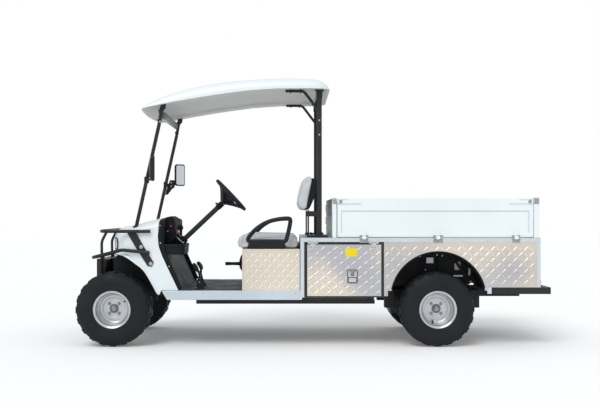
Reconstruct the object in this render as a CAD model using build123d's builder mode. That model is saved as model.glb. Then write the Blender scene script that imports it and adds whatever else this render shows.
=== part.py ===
from build123d import *
import math
import os

# Utility golf cart with an aluminium drop-side cargo bed, in millimetres.
# +X is forward, +Y is to the driver's left and +Z is up.  The origin is on the ground, at the middle of the
# cart's length and width.

# Driving dimensions
LENGTH = 3551.0
WHEELBASE = 2428.0
TRACK = 1000.0
TYRE_DIAMETER = 559.0
TYRE_WIDTH = 260.0
RIM_DIAMETER = 254.0
BODY_HALF_WIDTH = 606.0
CAB_HALF_WIDTH = 575.0
ROOF_HALF_WIDTH = 550.0
POST_Y = 450.0
SKIN = 6.0
TUBE = 26.0

# Heights above the ground
SILL_LOW = 352.0
SILL_HIGH = 420.0
RAIL_LOW = 345.0
RAIL_HIGH = 400.0
FLOOR_TOP = 412.0
SEAT_BOX_TOP = 731.0
DECK_LOW = 807.0
DECK_TOP = 815.0
SIDE_LOW = 822.0
SIDE_TOP = 1110.0
STEP_LOW = 395.0
STEP_HIGH = 445.0

# Stations along the cart
TYRE_RADIUS = TYRE_DIAMETER / 2
FRONT_AXLE_X = LENGTH / 2 - TYRE_RADIUS
REAR_AXLE_X = FRONT_AXLE_X - WHEELBASE
WHEEL_Y = TRACK / 2
SEAT_BACK_X = 96.0
SEAT_FRONT_X = 527.0
LOCKER_FRONT_X = 92.0
LOCKER_REAR_X = -530.0
HEADBOARD_X = -146.0
DECK_REAR_X = -1698.0
STEP_REAR_X = -LENGTH / 2

# Chassis
RAIL_IN = 170.0
RAIL_OUT = 220.0
OUTRIGGER_Y = 575.0
OUTRIGGER_HIGH = 370.0
REAR_SPRING_Y = 300.0
REAR_SPRING_HALF = 330.0
FRONT_SPRING_Y = 195.0
SPRING_WIDTH = 44.0
LEAF = 7.0

# Steering
KINGPIN_Y = 345.0
KINGPIN_RADIUS = 10.0
SPINDLE_RADIUS = 20.0
RUNNING = 0.05
STEER_ARM = 110.0
TIE_ROD_Z = 222.0
COLUMN_Y = 250.0
COLUMN_TILT = 43.4
WHEEL_CENTRE = (634.0, COLUMN_Y, 1142.0)
STEERING_WHEEL_RADIUS = 151.5
STEERING_RIM = 27.0

# Bed and lockers
PANEL = 25.0
PANEL_OUT = 600.0
SIDE_HINGE_Y = 620.0
TAILGATE_OUT = -1690.0
TAILGATE_HINGE_X = -1709.0
BED_HINGE_Z = 812.0
KNUCKLE_RADIUS = 9.0
LOCKER_IN = 300.0
DOOR_HINGE_Y = 612.0
DOOR_HINGE_Z = 776.0
ARCH_RADIUS = 355.0
ARCH_X = -936.0
ARCH_Z = 354.0

os.makedirs("parts", exist_ok=True)


def keep(piece, name):
    """Label a finished piece and write it as one node."""
    piece.label = name
    export_step(piece, f"parts/{name}.step")


def keep_pair(left, name):
    """Write a left-hand piece, and its mirror image for the right."""
    keep(left, f"{name}_left")
    keep(mirror(left, about=Plane.XZ), f"{name}_right")


def block(x, y, z, mode=Mode.ADD):
    """A box between its low and high limits on each axis."""
    lows = [min(pair) for pair in (x, y, z)]
    highs = [max(pair) for pair in (x, y, z)]
    middle = tuple((low + high) / 2 for low, high in zip(lows, highs))
    with Locations(middle):
        Box(*[high - low for low, high in zip(lows, highs)], mode=mode)


def side_plate(points, y_low, y_high, mode=Mode.ADD):
    """A plate whose outline is drawn in X and Z, between two Y planes."""
    with BuildSketch(Plane.XZ.offset(-y_low)) as outline:
        with BuildLine():
            Polyline(*points, close=True)
        make_face()
    extrude(outline.sketch, amount=y_low - y_high, mode=mode)


def rod(start, end, radius, mode=Mode.ADD):
    """A round bar between two points."""
    run = Vector(*end) - Vector(*start)
    with BuildSketch(Plane(origin=start, z_dir=run)) as section:
        Circle(radius)
    extrude(section.sketch, amount=run.length, mode=mode)


def tube(points, diameter, bend, mode=Mode.ADD):
    """A round tube bent along a route."""
    with BuildLine() as route:
        FilletPolyline(*points, radius=bend)
    along = Vector(*points[1]) - Vector(*points[0])
    with BuildSketch(Plane(origin=points[0], z_dir=along)) as section:
        Circle(diameter / 2)
    sweep(section.sketch, path=route.line, mode=mode)


# ---------------------------------------------------------------- chassis

RAIL_X = (-1640, 1662)
SIDE_RAIL_X = (-468, 876)
SIDE_RAIL_Y = (500, 540)
SIDE_RAIL_LOW = 317
OUTRIGGERS = (850, 520, 60, -440)
CROSS_MEMBERS = (1620, 1250, 1010, 560, 60, -540, -1290, -1610)
MEMBER_HALF = 20
TOWER_TOP = 530
EAR_PLATE = 7
with BuildPart() as chassis_frame:
    block(RAIL_X, (RAIL_IN, RAIL_OUT), (RAIL_LOW, RAIL_HIGH))
    block(SIDE_RAIL_X, SIDE_RAIL_Y, (SIDE_RAIL_LOW, RAIL_LOW))
    for outrigger_x in OUTRIGGERS:
        block((outrigger_x - MEMBER_HALF, outrigger_x + MEMBER_HALF), (RAIL_OUT, OUTRIGGER_Y),
              (RAIL_LOW, OUTRIGGER_HIGH))
    for hanger_x in (REAR_AXLE_X - REAR_SPRING_HALF, REAR_AXLE_X + REAR_SPRING_HALF):
        block((hanger_x - 38, hanger_x + 38), (RAIL_OUT, REAR_SPRING_Y + 30), (352, RAIL_HIGH))
        for ear_y in (REAR_SPRING_Y - 30, REAR_SPRING_Y + 23):
            block((hanger_x - 38, hanger_x + 38), (ear_y, ear_y + EAR_PLATE), (265, 352))
    for eye_x in (FRONT_AXLE_X - 260, FRONT_AXLE_X + 140):
        for ear_y in (FRONT_SPRING_Y - 30, FRONT_SPRING_Y + 23):
            block((eye_x - 16, eye_x + 16), (ear_y, ear_y + EAR_PLATE), (308, RAIL_LOW))
    block((FRONT_AXLE_X - 26, FRONT_AXLE_X + 26), (RAIL_IN, RAIL_OUT), (RAIL_HIGH, TOWER_TOP))
    mirror(about=Plane.XZ)
    for member_x in CROSS_MEMBERS:
        block((member_x - 25, member_x + 25), (-RAIL_IN, RAIL_IN), (RAIL_LOW, RAIL_HIGH - 5))
    block((FRONT_AXLE_X - MEMBER_HALF, FRONT_AXLE_X + MEMBER_HALF), (-RAIL_IN, RAIL_IN),
          (TOWER_TOP - 30, TOWER_TOP))
keep(chassis_frame.part, "chassis_frame")

BED_RAIL_X = (-1640, 86)
BED_RAIL_LOW = 750
BED_MEMBER_LOW = 767
BED_UPRIGHTS = (60, -420, -1200, -1610)
BED_OUTRIGGERS = (-560, -936, -1290, -1650)
BED_CROSS_MEMBERS = (60, -146, -560, -936, -1290, -1620)
with BuildPart() as bed_subframe:
    block(BED_RAIL_X, (RAIL_IN, RAIL_OUT), (BED_RAIL_LOW, DECK_LOW))
    for post_x in BED_UPRIGHTS:
        block((post_x - 25, post_x + 25), (RAIL_IN, RAIL_OUT), (RAIL_HIGH, BED_RAIL_LOW))
    for member_x in BED_OUTRIGGERS:
        block((member_x - MEMBER_HALF, member_x + MEMBER_HALF), (RAIL_OUT, BODY_HALF_WIDTH - SKIN),
              (BED_MEMBER_LOW, DECK_LOW))
    mirror(about=Plane.XZ)
    for member_x in BED_CROSS_MEMBERS:
        block((member_x - MEMBER_HALF, member_x + MEMBER_HALF), (-RAIL_IN, RAIL_IN),
              (BED_MEMBER_LOW, DECK_LOW))
keep(bed_subframe.part, "bed_subframe")

AXLE_Z = TYRE_RADIUS
EAR_GAP = 49.0
EAR = 12.0
with BuildPart() as front_axle:
    rod((FRONT_AXLE_X, -302, AXLE_Z), (FRONT_AXLE_X, 302, AXLE_Z), 30)
    for side in (1, -1):
        block((FRONT_AXLE_X - 22, FRONT_AXLE_X + 22), (side * 298, side * 314),
              (AXLE_Z - EAR_GAP - EAR, AXLE_Z + EAR_GAP + EAR))
        for ear_z in (AXLE_Z - EAR_GAP - EAR, AXLE_Z + EAR_GAP):
            block((FRONT_AXLE_X - 22, FRONT_AXLE_X + 22), (side * 314, side * (KINGPIN_Y + 20)),
                  (ear_z, ear_z + EAR))
        rod((FRONT_AXLE_X, side * KINGPIN_Y, AXLE_Z - 80), (FRONT_AXLE_X, side * KINGPIN_Y, AXLE_Z + 80),
            KINGPIN_RADIUS + RUNNING, mode=Mode.SUBTRACT)
        pad_y = sorted((side * (FRONT_SPRING_Y - 22), side * (FRONT_SPRING_Y + 22)))
        block((FRONT_AXLE_X - 30, FRONT_AXLE_X + 30), pad_y, (AXLE_Z + 20, 312))
keep(front_axle.part, "front_axle")

DRUM_RADIUS = 90.0
with BuildPart() as rear_axle:
    rod((REAR_AXLE_X, -402, AXLE_Z), (REAR_AXLE_X, 402, AXLE_Z), 38)
    rod((REAR_AXLE_X, -75, AXLE_Z), (REAR_AXLE_X, 75, AXLE_Z), 88)
    for side in (1, -1):
        rod((REAR_AXLE_X, side * 400, AXLE_Z), (REAR_AXLE_X, side * 466, AXLE_Z), DRUM_RADIUS)
        rod((REAR_AXLE_X, side * 464, AXLE_Z), (REAR_AXLE_X, side * 532, AXLE_Z), SPINDLE_RADIUS)
keep(rear_axle.part, "rear_axle")

with BuildPart() as drive_motor:
    block((REAR_AXLE_X + 89, REAR_AXLE_X + 300), (-95, 95), (AXLE_Z - 80, AXLE_Z + 90))
keep(drive_motor.part, "drive_motor")


def leaf_spring(rear_x, front_x, centre_x, y, low_z, eye_z, under):
    """A stack of curved leaves, the main one with an eye at each end; under puts it below its main leaf."""
    step = -LEAF if under else LEAF
    for shorten in range(3):
        base = low_z + (step * shorten if under else step * (2 - shorten))
        share = 1 - 0.3 * shorten
        rear = centre_x - (centre_x - rear_x) * share
        front = centre_x + (front_x - centre_x) * share
        rise = (eye_z - low_z) * share ** 2
        with BuildSketch(Plane.XZ.offset(-(y - SPRING_WIDTH / 2))) as leaf:
            with BuildLine():
                ThreePointArc((rear, base + rise), (centre_x, base), (front, base + rise))
                Line((front, base + rise), (front, base + rise + LEAF))
                ThreePointArc((front, base + rise + LEAF), (centre_x, base + LEAF), (rear, base + rise + LEAF))
                Line((rear, base + rise + LEAF), (rear, base + rise))
            make_face()
        extrude(leaf.sketch, amount=-SPRING_WIDTH)
    eye_base = low_z if under else low_z + 2 * LEAF
    for eye_x in (rear_x, front_x):
        eye_middle = eye_base + (eye_z - low_z) + LEAF / 2
        rod((eye_x, y - SPRING_WIDTH / 2, eye_middle), (eye_x, y + SPRING_WIDTH / 2, eye_middle), 11)


with BuildPart() as leaf_springs:
    leaf_spring(FRONT_AXLE_X - 260, FRONT_AXLE_X + 140, FRONT_AXLE_X, FRONT_SPRING_Y, 313, 316, False)
    leaf_spring(REAR_AXLE_X - REAR_SPRING_HALF, REAR_AXLE_X + REAR_SPRING_HALF, REAR_AXLE_X, REAR_SPRING_Y,
                AXLE_Z - 38 - LEAF, 282, True)
    mirror(about=Plane.XZ)
keep(leaf_springs.part, "leaf_springs")

with BuildPart() as shock_absorbers:
    for shock_y in (250, -250):
        rod((REAR_AXLE_X, shock_y, AXLE_Z + 38), (REAR_AXLE_X, shock_y, 560), 13)
        rod((REAR_AXLE_X, shock_y, 500), (REAR_AXLE_X, shock_y, 767), 21)
    for shock_y in (110, -110):
        rod((FRONT_AXLE_X, shock_y, AXLE_Z + 30), (FRONT_AXLE_X, shock_y, 400), 12)
        rod((FRONT_AXLE_X, shock_y, 370), (FRONT_AXLE_X, shock_y, 500), 20)
keep(shock_absorbers.part, "shock_absorbers")

# ---------------------------------------------------------------- wheels

BEAD_RADIUS = RIM_DIAMETER / 2
FLANGE_RADIUS = 140.0
DISC_Y = 18.0
NUT_CIRCLE = 51.0
# The tyre has as many facets as twenty lugs and the gaps between them, and its two halves are out of step.
# Its rings go from the middle groove out to the bead: distance across, radius over a lug and radius in a gap.
TYRE_FACETS = 40
TYRE_RINGS = (
    (8.0, TYRE_RADIUS, 270.5),
    (84.0, TYRE_RADIUS, 270.5),
    (104.0, 270.5, 263.0),
    (118.0, 247.0, 247.0),
    (TYRE_WIDTH / 2, 205.0, 205.0),
    (100.0, BEAD_RADIUS, BEAD_RADIUS),
)


def tyre_corner(across, radius, step):
    """A corner between two facets, which touch the circle of this radius about the Y axis."""
    turn = 2 * math.pi / TYRE_FACETS
    reach = radius / math.cos(turn / 2)
    angle = turn * (step % TYRE_FACETS + 0.5)
    return (reach * math.sin(angle), across, reach * math.cos(angle))


def tyre_facet(start, end, step):
    """A facet between two rings' (distance across, radius), from one step to the next."""
    return [tyre_corner(*start, step), tyre_corner(*start, step + 1), tyre_corner(*end, step + 1),
            tyre_corner(*end, step)]


def tyre_body():
    """A low-pressure tyre about the origin, as one closed shell of flat facets."""
    outlines = []
    groove, lug, gap = TYRE_RINGS[0]
    bead, bore, _ = TYRE_RINGS[-1]
    for step in range(TYRE_FACETS):
        outlines.append(tyre_facet((groove, gap), (-groove, gap), step))
        outlines.append(tyre_facet((bead, bore), (-bead, bore), step))
        for half in (1, -1):
            level = 1 + (step + (half > 0)) % 2
            if level == 1:
                outlines.append(tyre_facet((half * groove, lug), (half * groove, gap), step))
            for inner, outer in zip(TYRE_RINGS, TYRE_RINGS[1:]):
                near = half * inner[0]
                far = half * outer[0]
                outlines.append(tyre_facet((near, inner[level]), (far, outer[level]), step))
                if inner[1] > inner[2]:
                    flank = [tyre_corner(near, inner[1], step), tyre_corner(near, inner[2], step),
                             tyre_corner(far, outer[2], step)]
                    if outer[1] > outer[2]:
                        flank.append(tyre_corner(far, outer[1], step))
                    outlines.append(flank)
    return Solid(Shell([Face(Wire.make_polygon(outline)) for outline in outlines]))


def rim_at(x, side):
    """A deep-dish steel rim with its disc, hub and four wheel nuts."""
    out = side
    with BuildPart() as rim:
        with BuildSketch(Plane(origin=(x, side * WHEEL_Y, AXLE_Z), x_dir=(0, 1, 0), z_dir=(1, 0, 0))):
            with BuildLine():
                Polyline(
                    (118, 132), (118, FLANGE_RADIUS), (112, FLANGE_RADIUS), (108, BEAD_RADIUS - 0.3),
                    (70, BEAD_RADIUS - 0.3), (55, 108), (-55, 108), (-70, BEAD_RADIUS - 0.3),
                    (-108, BEAD_RADIUS - 0.3), (-112, FLANGE_RADIUS), (-118, FLANGE_RADIUS), (-118, 132),
                    (-114, 121), (-72, 121), (-57, 103), (57, 103), (72, 121), (114, 121), close=True)
            make_face()
        revolve(axis=Axis((x, side * WHEEL_Y, AXLE_Z), (0, 1, 0)))
        disc_y = side * WHEEL_Y + out * DISC_Y
        rod((x, disc_y, AXLE_Z), (x, disc_y + out * 6, AXLE_Z), 105)
        rod((x, disc_y - out * 50, AXLE_Z), (x, disc_y + out * 22, AXLE_Z), 36)
        rod((x, disc_y - out * 51, AXLE_Z), (x, disc_y + out * 16, AXLE_Z), SPINDLE_RADIUS + RUNNING,
            mode=Mode.SUBTRACT)
        for angle in (45, 135, 225, 315):
            nut_x = x + NUT_CIRCLE * math.cos(math.radians(angle))
            nut_z = AXLE_Z + NUT_CIRCLE * math.sin(math.radians(angle))
            rod((nut_x, disc_y + out * 5, nut_z), (nut_x, disc_y + out * 20, nut_z), 10)
    return rim.part


tyre = tyre_body()
for corner, corner_x, corner_side in (
    ("front_left", FRONT_AXLE_X, 1),
    ("front_right", FRONT_AXLE_X, -1),
    ("rear_left", REAR_AXLE_X, 1),
    ("rear_right", REAR_AXLE_X, -1),
):
    keep(tyre.moved(Location((corner_x, corner_side * WHEEL_Y, AXLE_Z))), f"tyre_{corner}")
    keep(rim_at(corner_x, corner_side), f"rim_{corner}")

# ---------------------------------------------------------------- steering

ARM_X = FRONT_AXLE_X - STEER_ARM
with BuildPart() as knuckle:
    kingpin = (FRONT_AXLE_X, KINGPIN_Y)
    rod((*kingpin, AXLE_Z - EAR_GAP + 1), (*kingpin, AXLE_Z + EAR_GAP - 1), 17)
    rod((*kingpin, AXLE_Z - EAR_GAP - EAR), (*kingpin, AXLE_Z + EAR_GAP + EAR), KINGPIN_RADIUS)
    rod((FRONT_AXLE_X, KINGPIN_Y + 10, AXLE_Z), (FRONT_AXLE_X, 466, AXLE_Z), 28)
    rod((FRONT_AXLE_X, 464, AXLE_Z), (FRONT_AXLE_X, 532, AXLE_Z), SPINDLE_RADIUS)
    block((ARM_X - 14, FRONT_AXLE_X), (KINGPIN_Y - 12, KINGPIN_Y + 12), (AXLE_Z - 46, AXLE_Z - 32))
    rod((ARM_X, KINGPIN_Y, TIE_ROD_Z - 12), (ARM_X, KINGPIN_Y, AXLE_Z - 40), 6)
keep_pair(knuckle.part, "knuckle")

with BuildPart() as tie_rod:
    rod((ARM_X, -KINGPIN_Y + 14, TIE_ROD_Z), (ARM_X, KINGPIN_Y - 14, TIE_ROD_Z), 8)
    for side, bore in ((1, 6 + RUNNING), (-1, 8.0)):
        rod((ARM_X, side * KINGPIN_Y, TIE_ROD_Z - 9), (ARM_X, side * KINGPIN_Y, TIE_ROD_Z + 7), 17)
        rod((ARM_X, side * KINGPIN_Y, TIE_ROD_Z - 20), (ARM_X, side * KINGPIN_Y, TIE_ROD_Z + 20), bore,
            mode=Mode.SUBTRACT)
keep(tie_rod.part, "tie_rod")

TILT = math.radians(COLUMN_TILT)
COLUMN_DIRECTION = (-math.cos(TILT), 0.0, math.sin(TILT))


def on_column(distance):
    """A point on the column's line, so far below the steering wheel's centre."""
    return tuple(start - distance * way for start, way in zip(WHEEL_CENTRE, COLUMN_DIRECTION))


with BuildPart() as steering_column:
    rod(on_column(525), on_column(84), 19.5)
    rod(on_column(150), on_column(105), 27)
    block((712, 728), (COLUMN_Y + 15, COLUMN_Y + 110), (1050, 1064))
keep(steering_column.part, "steering_column")

with BuildPart() as steering_wheel:
    rim_plane = Plane(origin=WHEEL_CENTRE, x_dir=(0, 1, 0), z_dir=COLUMN_DIRECTION)
    with Locations(rim_plane.location * Location((0, 0, 0), (0, 0, 45))):
        Torus(STEERING_WHEEL_RADIUS, STEERING_RIM / 2)
    for spoke_angle in (0, 180, 270):
        along = rim_plane.x_dir * math.cos(math.radians(spoke_angle))
        along = along + rim_plane.y_dir * math.sin(math.radians(spoke_angle))
        hub_point = Vector(*on_column(28)) + along * 20
        rim_point = Vector(*WHEEL_CENTRE) + along * (STEERING_WHEEL_RADIUS - 4)
        rod(tuple(hub_point), tuple(rim_point), 10)
    rod(on_column(78), on_column(48), 24)
    rod(on_column(48), on_column(12), 38)
keep(steering_wheel.part, "steering_wheel")

# ---------------------------------------------------------------- cab floor and front body

FLOOR_FRONT_X = 1012
TOE_BOARD = [(1000, 400), (1012, 400), (1099, 600), (1144, 702), (1136, 702), (1089, 603), (1004, 412)]
with BuildPart() as floor_pan:
    block((SEAT_BACK_X, FLOOR_FRONT_X), (-570, 570), (RAIL_HIGH, FLOOR_TOP))
    side_plate(TOE_BOARD, -564, 564)
keep(floor_pan.part, "floor_pan")

with BuildPart() as sills:
    side_plate([(LOCKER_FRONT_X, SILL_LOW), (1087, SILL_LOW), (1128, SILL_HIGH), (LOCKER_FRONT_X, SILL_HIGH)],
               OUTRIGGER_Y, BODY_HALF_WIDTH)
    mirror(about=Plane.XZ)
keep(sills.part, "sills")

# The cowl's side outline below its skin: along the wheel opening, up the rear edge, then clear of the skin.
COWL_UNDER = [(1700, 660), (1566, 668), (1500, 684), (1419, 676), (1322, 616), (1255, 557), (1205, 474),
              (1157, 388), (1143, 381), (1131, 421)]
COWL_REAR = [(1006, 421), (1087, 600), (1130, 700), (1155, 774), (1161, 849), (1152, 930), (1159, 1000)]
# Its cross-sections from the doors to the nose: station, half width, crown height, shoulder radius and how far
# the inner skin stands behind the outer one, as a share of the wall.
COWL_SECTIONS = (
    (960, 575, 1004, 70, 0.0),
    (1159, 575, 957, 70, 0.0),
    (1380, 566, 905, 80, 0.3),
    (1455, 526, 874, 80, 0.6),
    (1505, 430, 848, 78, 0.9),
    (1545, 262, 806, 70, 1.1),
    (1572, 110, 725, 40, 1.2),
)


def cowl_loft(wall):
    """A body through the cowl's sections, taken in by the wall's thickness."""
    sections = []
    for station, half, crown, shoulder, behind in COWL_SECTIONS:
        with BuildSketch(Plane.YZ.offset(station - behind * wall)) as section:
            half_in = half - wall
            crown_in = crown - wall
            turn = (shoulder - wall) * (1 - math.sqrt(0.5))
            edge = half_in - shoulder + wall
            top = crown_in - shoulder + wall
            with BuildLine():
                Line((-half_in, 200), (-half_in, top))
                ThreePointArc((-half_in, top), (-half_in + turn, crown_in - turn), (-edge, crown_in))
                Line((-edge, crown_in), (edge, crown_in))
                ThreePointArc((edge, crown_in), (half_in - turn, crown_in - turn), (half_in, top))
                Line((half_in, top), (half_in, 200))
                Line((half_in, 200), (-half_in, 200))
            make_face()
        sections.append(section.sketch)
    loft(sections, ruled=True)


LAMP_CENTRE = (1460, 455, 774)
LAMP_YAW = 30.0
LAMP_SIZE = (60, 100, 80)
LAMP_POCKET = (130, 102, 82)


def lamp_place(side):
    """Where a headlight stands in the corner of the cowl."""
    middle = (LAMP_CENTRE[0], side * LAMP_CENTRE[1], LAMP_CENTRE[2])
    return Location(middle, (0, 0, side * LAMP_YAW))


with BuildPart() as cowl_hollow:
    cowl_loft(SKIN)

with BuildPart() as cowl:
    cowl_loft(0)
    add(cowl_hollow.part, mode=Mode.SUBTRACT)
    side_plate(COWL_UNDER + COWL_REAR + [(1700, 1000)], -620, 620, mode=Mode.INTERSECT)
    for side in (1, -1):
        with Locations(lamp_place(side)):
            Box(*LAMP_POCKET, mode=Mode.SUBTRACT)
keep(cowl.part, "cowl")

with BuildPart() as headlights:
    for side in (1, -1):
        with Locations(lamp_place(side)):
            Box(*LAMP_SIZE)
keep(headlights.part, "headlights")

# The bumper is a plate with a top ledge and short returns, on two uprights from the rails.
BUMPER_X = 1690.0
BUMPER_HALF = 245.0
BUMPER_LOW = 440.0
BUMPER_TOP = 640.0
BUMPER_WALL = 8.0
with BuildPart() as front_bumper:
    across = (-BUMPER_HALF, BUMPER_HALF)
    block((BUMPER_X - BUMPER_WALL, BUMPER_X), across, (BUMPER_LOW, BUMPER_TOP))
    block((1590, BUMPER_X), across, (BUMPER_TOP - BUMPER_WALL, BUMPER_TOP))
    for side in (1, -1):
        block((BUMPER_X - 36, BUMPER_X), (side * (BUMPER_HALF - 6), side * BUMPER_HALF), (BUMPER_LOW, BUMPER_TOP))
        block((1632, 1660), (side * 184, side * 212), (RAIL_HIGH, BUMPER_TOP))
keep(front_bumper.part, "front_bumper")

# The guard's hoops as (x, y, z) from the left, and the bends at their inner corners.
HOOP_Y = 593.0
UPPER_Z = 863.0
GUARD_BAR_Y = 198.0
UPPER_HOOP = ((1219, HOOP_Y, UPPER_Z), (1588, HOOP_Y, UPPER_Z), (1612, 240, UPPER_Z))
UPPER_BENDS = (90, 300, 300, 90)
LOWER_HOOP = ((1225, HOOP_Y, 704), (1425, HOOP_Y, 724), (1660, HOOP_Y - 60, 664))
LOWER_BENDS = (60, 60, 60, 60)
GUARD_BAR = ((1616, 863), (1662, 775), (1660, 664))
GUARD_PLATE = [(1390, 855), (1322, 855), (1268, 755), (1190, 628), (1206, 598), (1236, 604), (1312, 722)]
with BuildPart() as brush_guard:
    for hoop, bends in ((UPPER_HOOP, UPPER_BENDS), (LOWER_HOOP, LOWER_BENDS)):
        tube([*hoop, *[(x, -y, z) for x, y, z in reversed(hoop)]], TUBE, bends)
    for side in (1, -1):
        bar_y = side * GUARD_BAR_Y
        tube([(x, bar_y, z) for x, z in GUARD_BAR], TUBE - 4, 100)
        block((1640, 1668), (bar_y - 12, bar_y + 12), (BUMPER_TOP, 664))
        side_plate(GUARD_PLATE, *sorted((side * CAB_HALF_WIDTH, side * (CAB_HALF_WIDTH + 7))))
keep(brush_guard.part, "brush_guard")

# The dash is a panel with a trim band round the cowl's opening, a pod for the column and a tray below it.
DASH_GAP = 5.0
DASH_BAND = 44.0
DASH_CROWN = 957.0
DASH_SHOULDER = 75.0
DASH_PANEL = [(1136, 703), (1144, 703), (1150, 775), (1150, 960), (1140, 960), (1140, 775)]
DASH_TRIM = [(1118, 764), (1150, 764), (1150, 960), (1126, 960), (1118, 930)]
POD_Y = (130, 400)
POD_PROFILE = [(1145, 771), (1150, 945), (1120, 968), (1085, 976), (1062, 962), (1052, 925), (1050, 870),
               (1050, 820), (1068, 790), (1100, 771)]
SHROUD_PROFILE = [(1056, 850), (1020, 808), (1008, 778), (1026, 752), (1140, 752), (1140, 850)]
TRAY_X = (970, 1124)
TRAY_Y = (190, 560)
TRAY_Z = (688, 764)
TRAY_CORNER = 45.0
SHROUD_HALF = 42.0


def dash_arch(inset, mode):
    """An arch inside the cowl's rear opening, taken in from the cowl's outer skin."""
    half = CAB_HALF_WIDTH - inset
    with BuildSketch(Plane.YZ.offset(1100)) as arch:
        with Locations((0, (DASH_CROWN - inset) / 2)):
            Rectangle(2 * half, DASH_CROWN - inset)
        fillet(arch.vertices().sort_by(Axis.Z)[-2:], DASH_SHOULDER - inset)
    extrude(arch.sketch, amount=60, mode=mode)


with BuildPart() as dashboard:
    side_plate(DASH_TRIM, -CAB_HALF_WIDTH, CAB_HALF_WIDTH)
    dash_arch(SKIN + DASH_GAP + DASH_BAND, Mode.SUBTRACT)
    side_plate(DASH_PANEL, -CAB_HALF_WIDTH, CAB_HALF_WIDTH)
    dash_arch(SKIN + DASH_GAP, Mode.INTERSECT)
    side_plate(POD_PROFILE, *POD_Y)
    with BuildSketch(Plane.XY.offset(TRAY_Z[0])) as tray_plan:
        with Locations((sum(TRAY_X) / 2, sum(TRAY_Y) / 2)):
            Rectangle(TRAY_X[1] - TRAY_X[0], TRAY_Y[1] - TRAY_Y[0])
        fillet(tray_plan.vertices().sort_by(Axis.X)[:2], TRAY_CORNER)
    extrude(tray_plan.sketch, amount=TRAY_Z[1] - TRAY_Z[0])
    with BuildSketch(Plane.XY.offset(TRAY_Z[0] + SKIN)) as tray_hollow:
        offset(tray_plan.sketch, amount=-SKIN)
    extrude(tray_hollow.sketch, amount=TRAY_Z[1] - TRAY_Z[0] - SKIN, mode=Mode.SUBTRACT)
    block((TRAY_X[1] - SKIN, 1142), TRAY_Y, (TRAY_Z[1] - 12, TRAY_Z[1]))
    side_plate(SHROUD_PROFILE, COLUMN_Y - SHROUD_HALF, COLUMN_Y + SHROUD_HALF)
keep(dashboard.part, "dashboard")

with BuildPart() as pedals:
    for pedal_y, pedal_half in ((300, 32), (200, 42)):
        side_plate([(827, FLOOR_TOP), (900, FLOOR_TOP), (880, 470), (856, 470)], pedal_y - 8, pedal_y + 8)
        rod((868, pedal_y, 450), (905, pedal_y, 585), 8)
        side_plate([(868, 572), (920, 618), (926, 611), (874, 565)], pedal_y - pedal_half, pedal_y + pedal_half)
keep(pedals.part, "pedals")

# ---------------------------------------------------------------- seat

with BuildPart() as seat_box:
    block((SEAT_BACK_X, SEAT_FRONT_X), (-600, 600), (SILL_HIGH, SEAT_BOX_TOP))
    block((SEAT_BACK_X + 5, SEAT_FRONT_X - 5), (-595, 595), (SILL_HIGH - 1, SEAT_BOX_TOP - 5), mode=Mode.SUBTRACT)
keep(seat_box.part, "seat_box")

with BuildPart() as battery_pack:
    block((130, 500), (-500, 500), (FLOOR_TOP, 640))
keep(battery_pack.part, "battery_pack")

with BuildPart() as drive_selector:
    block((SEAT_FRONT_X, SEAT_FRONT_X + 18), (40, 160), (518, 687))
    rod((SEAT_FRONT_X + 16, 100, 606), (680, 100, 596), 8)
    rod((662, 100, 597), (692, 100, 595), 15)
keep(drive_selector.part, "drive_selector")

CUSHION_HALF = 520
CUSHION_BOARD_TOP = 744
CUSHION_PROFILE = [(112, 744), (545, 744), (561, 765), (561, 820), (540, 848), (480, 852), (140, 838), (112, 820)]
with BuildPart() as seat_cushion:
    block((110, 561), (-CUSHION_HALF - 5, CUSHION_HALF + 5), (SEAT_BOX_TOP, CUSHION_BOARD_TOP))
    side_plate(CUSHION_PROFILE, -CUSHION_HALF, CUSHION_HALF)
keep(seat_cushion.part, "seat_cushion")

BACK_HALF = 500
BACK_PROFILE = [(47, 1032), (80, 1026), (108, 1044), (112, 1080), (76, 1240), (55, 1268), (20, 1279), (-4, 1268),
                (-8, 1240), (20, 1110)]
with BuildPart() as seat_back:
    side_plate(BACK_PROFILE, -BACK_HALF, BACK_HALF)
keep(seat_back.part, "seat_back")

SHELL_HALF = 480
SHELL_PROFILE = [(20, 1024), (60, 1024), (60, 1028), (46, 1031.5), (19, 1109.5), (-9, 1240), (-8, 1262),
                 (-14, 1262), (-17, 1240), (11, 1105)]
with BuildPart() as seat_back_shell:
    side_plate(SHELL_PROFILE, -SHELL_HALF, SHELL_HALF)
keep(seat_back_shell.part, "seat_back_shell")

ARMREST_Y = 562.0
ARMREST_TUBE = 30.0
ARMREST_ROUTE = ((214, 745), (148, 962), (285, 972), (385, 914), (512, 800), (480, 745))
ARMREST_BENDS = (40, 50, 80, 30)
with BuildPart() as armrests:
    tube([(x, ARMREST_Y, z) for x, z in ARMREST_ROUTE], ARMREST_TUBE, ARMREST_BENDS)
    side_plate([(196, SEAT_BOX_TOP), (514, SEAT_BOX_TOP), (508, 772), (470, 776), (200, 756)],
               ARMREST_Y - 12, ARMREST_Y + 12)
    mirror(about=Plane.XZ)
keep(armrests.part, "armrests")

# ---------------------------------------------------------------- roof and posts

ROOF_LIP = [(1325, 1781), (768, 1884), (265, 1938)]
ROOF_REAR_X = -150.0
ROOF_REAR_CORNER = 120.0


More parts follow.
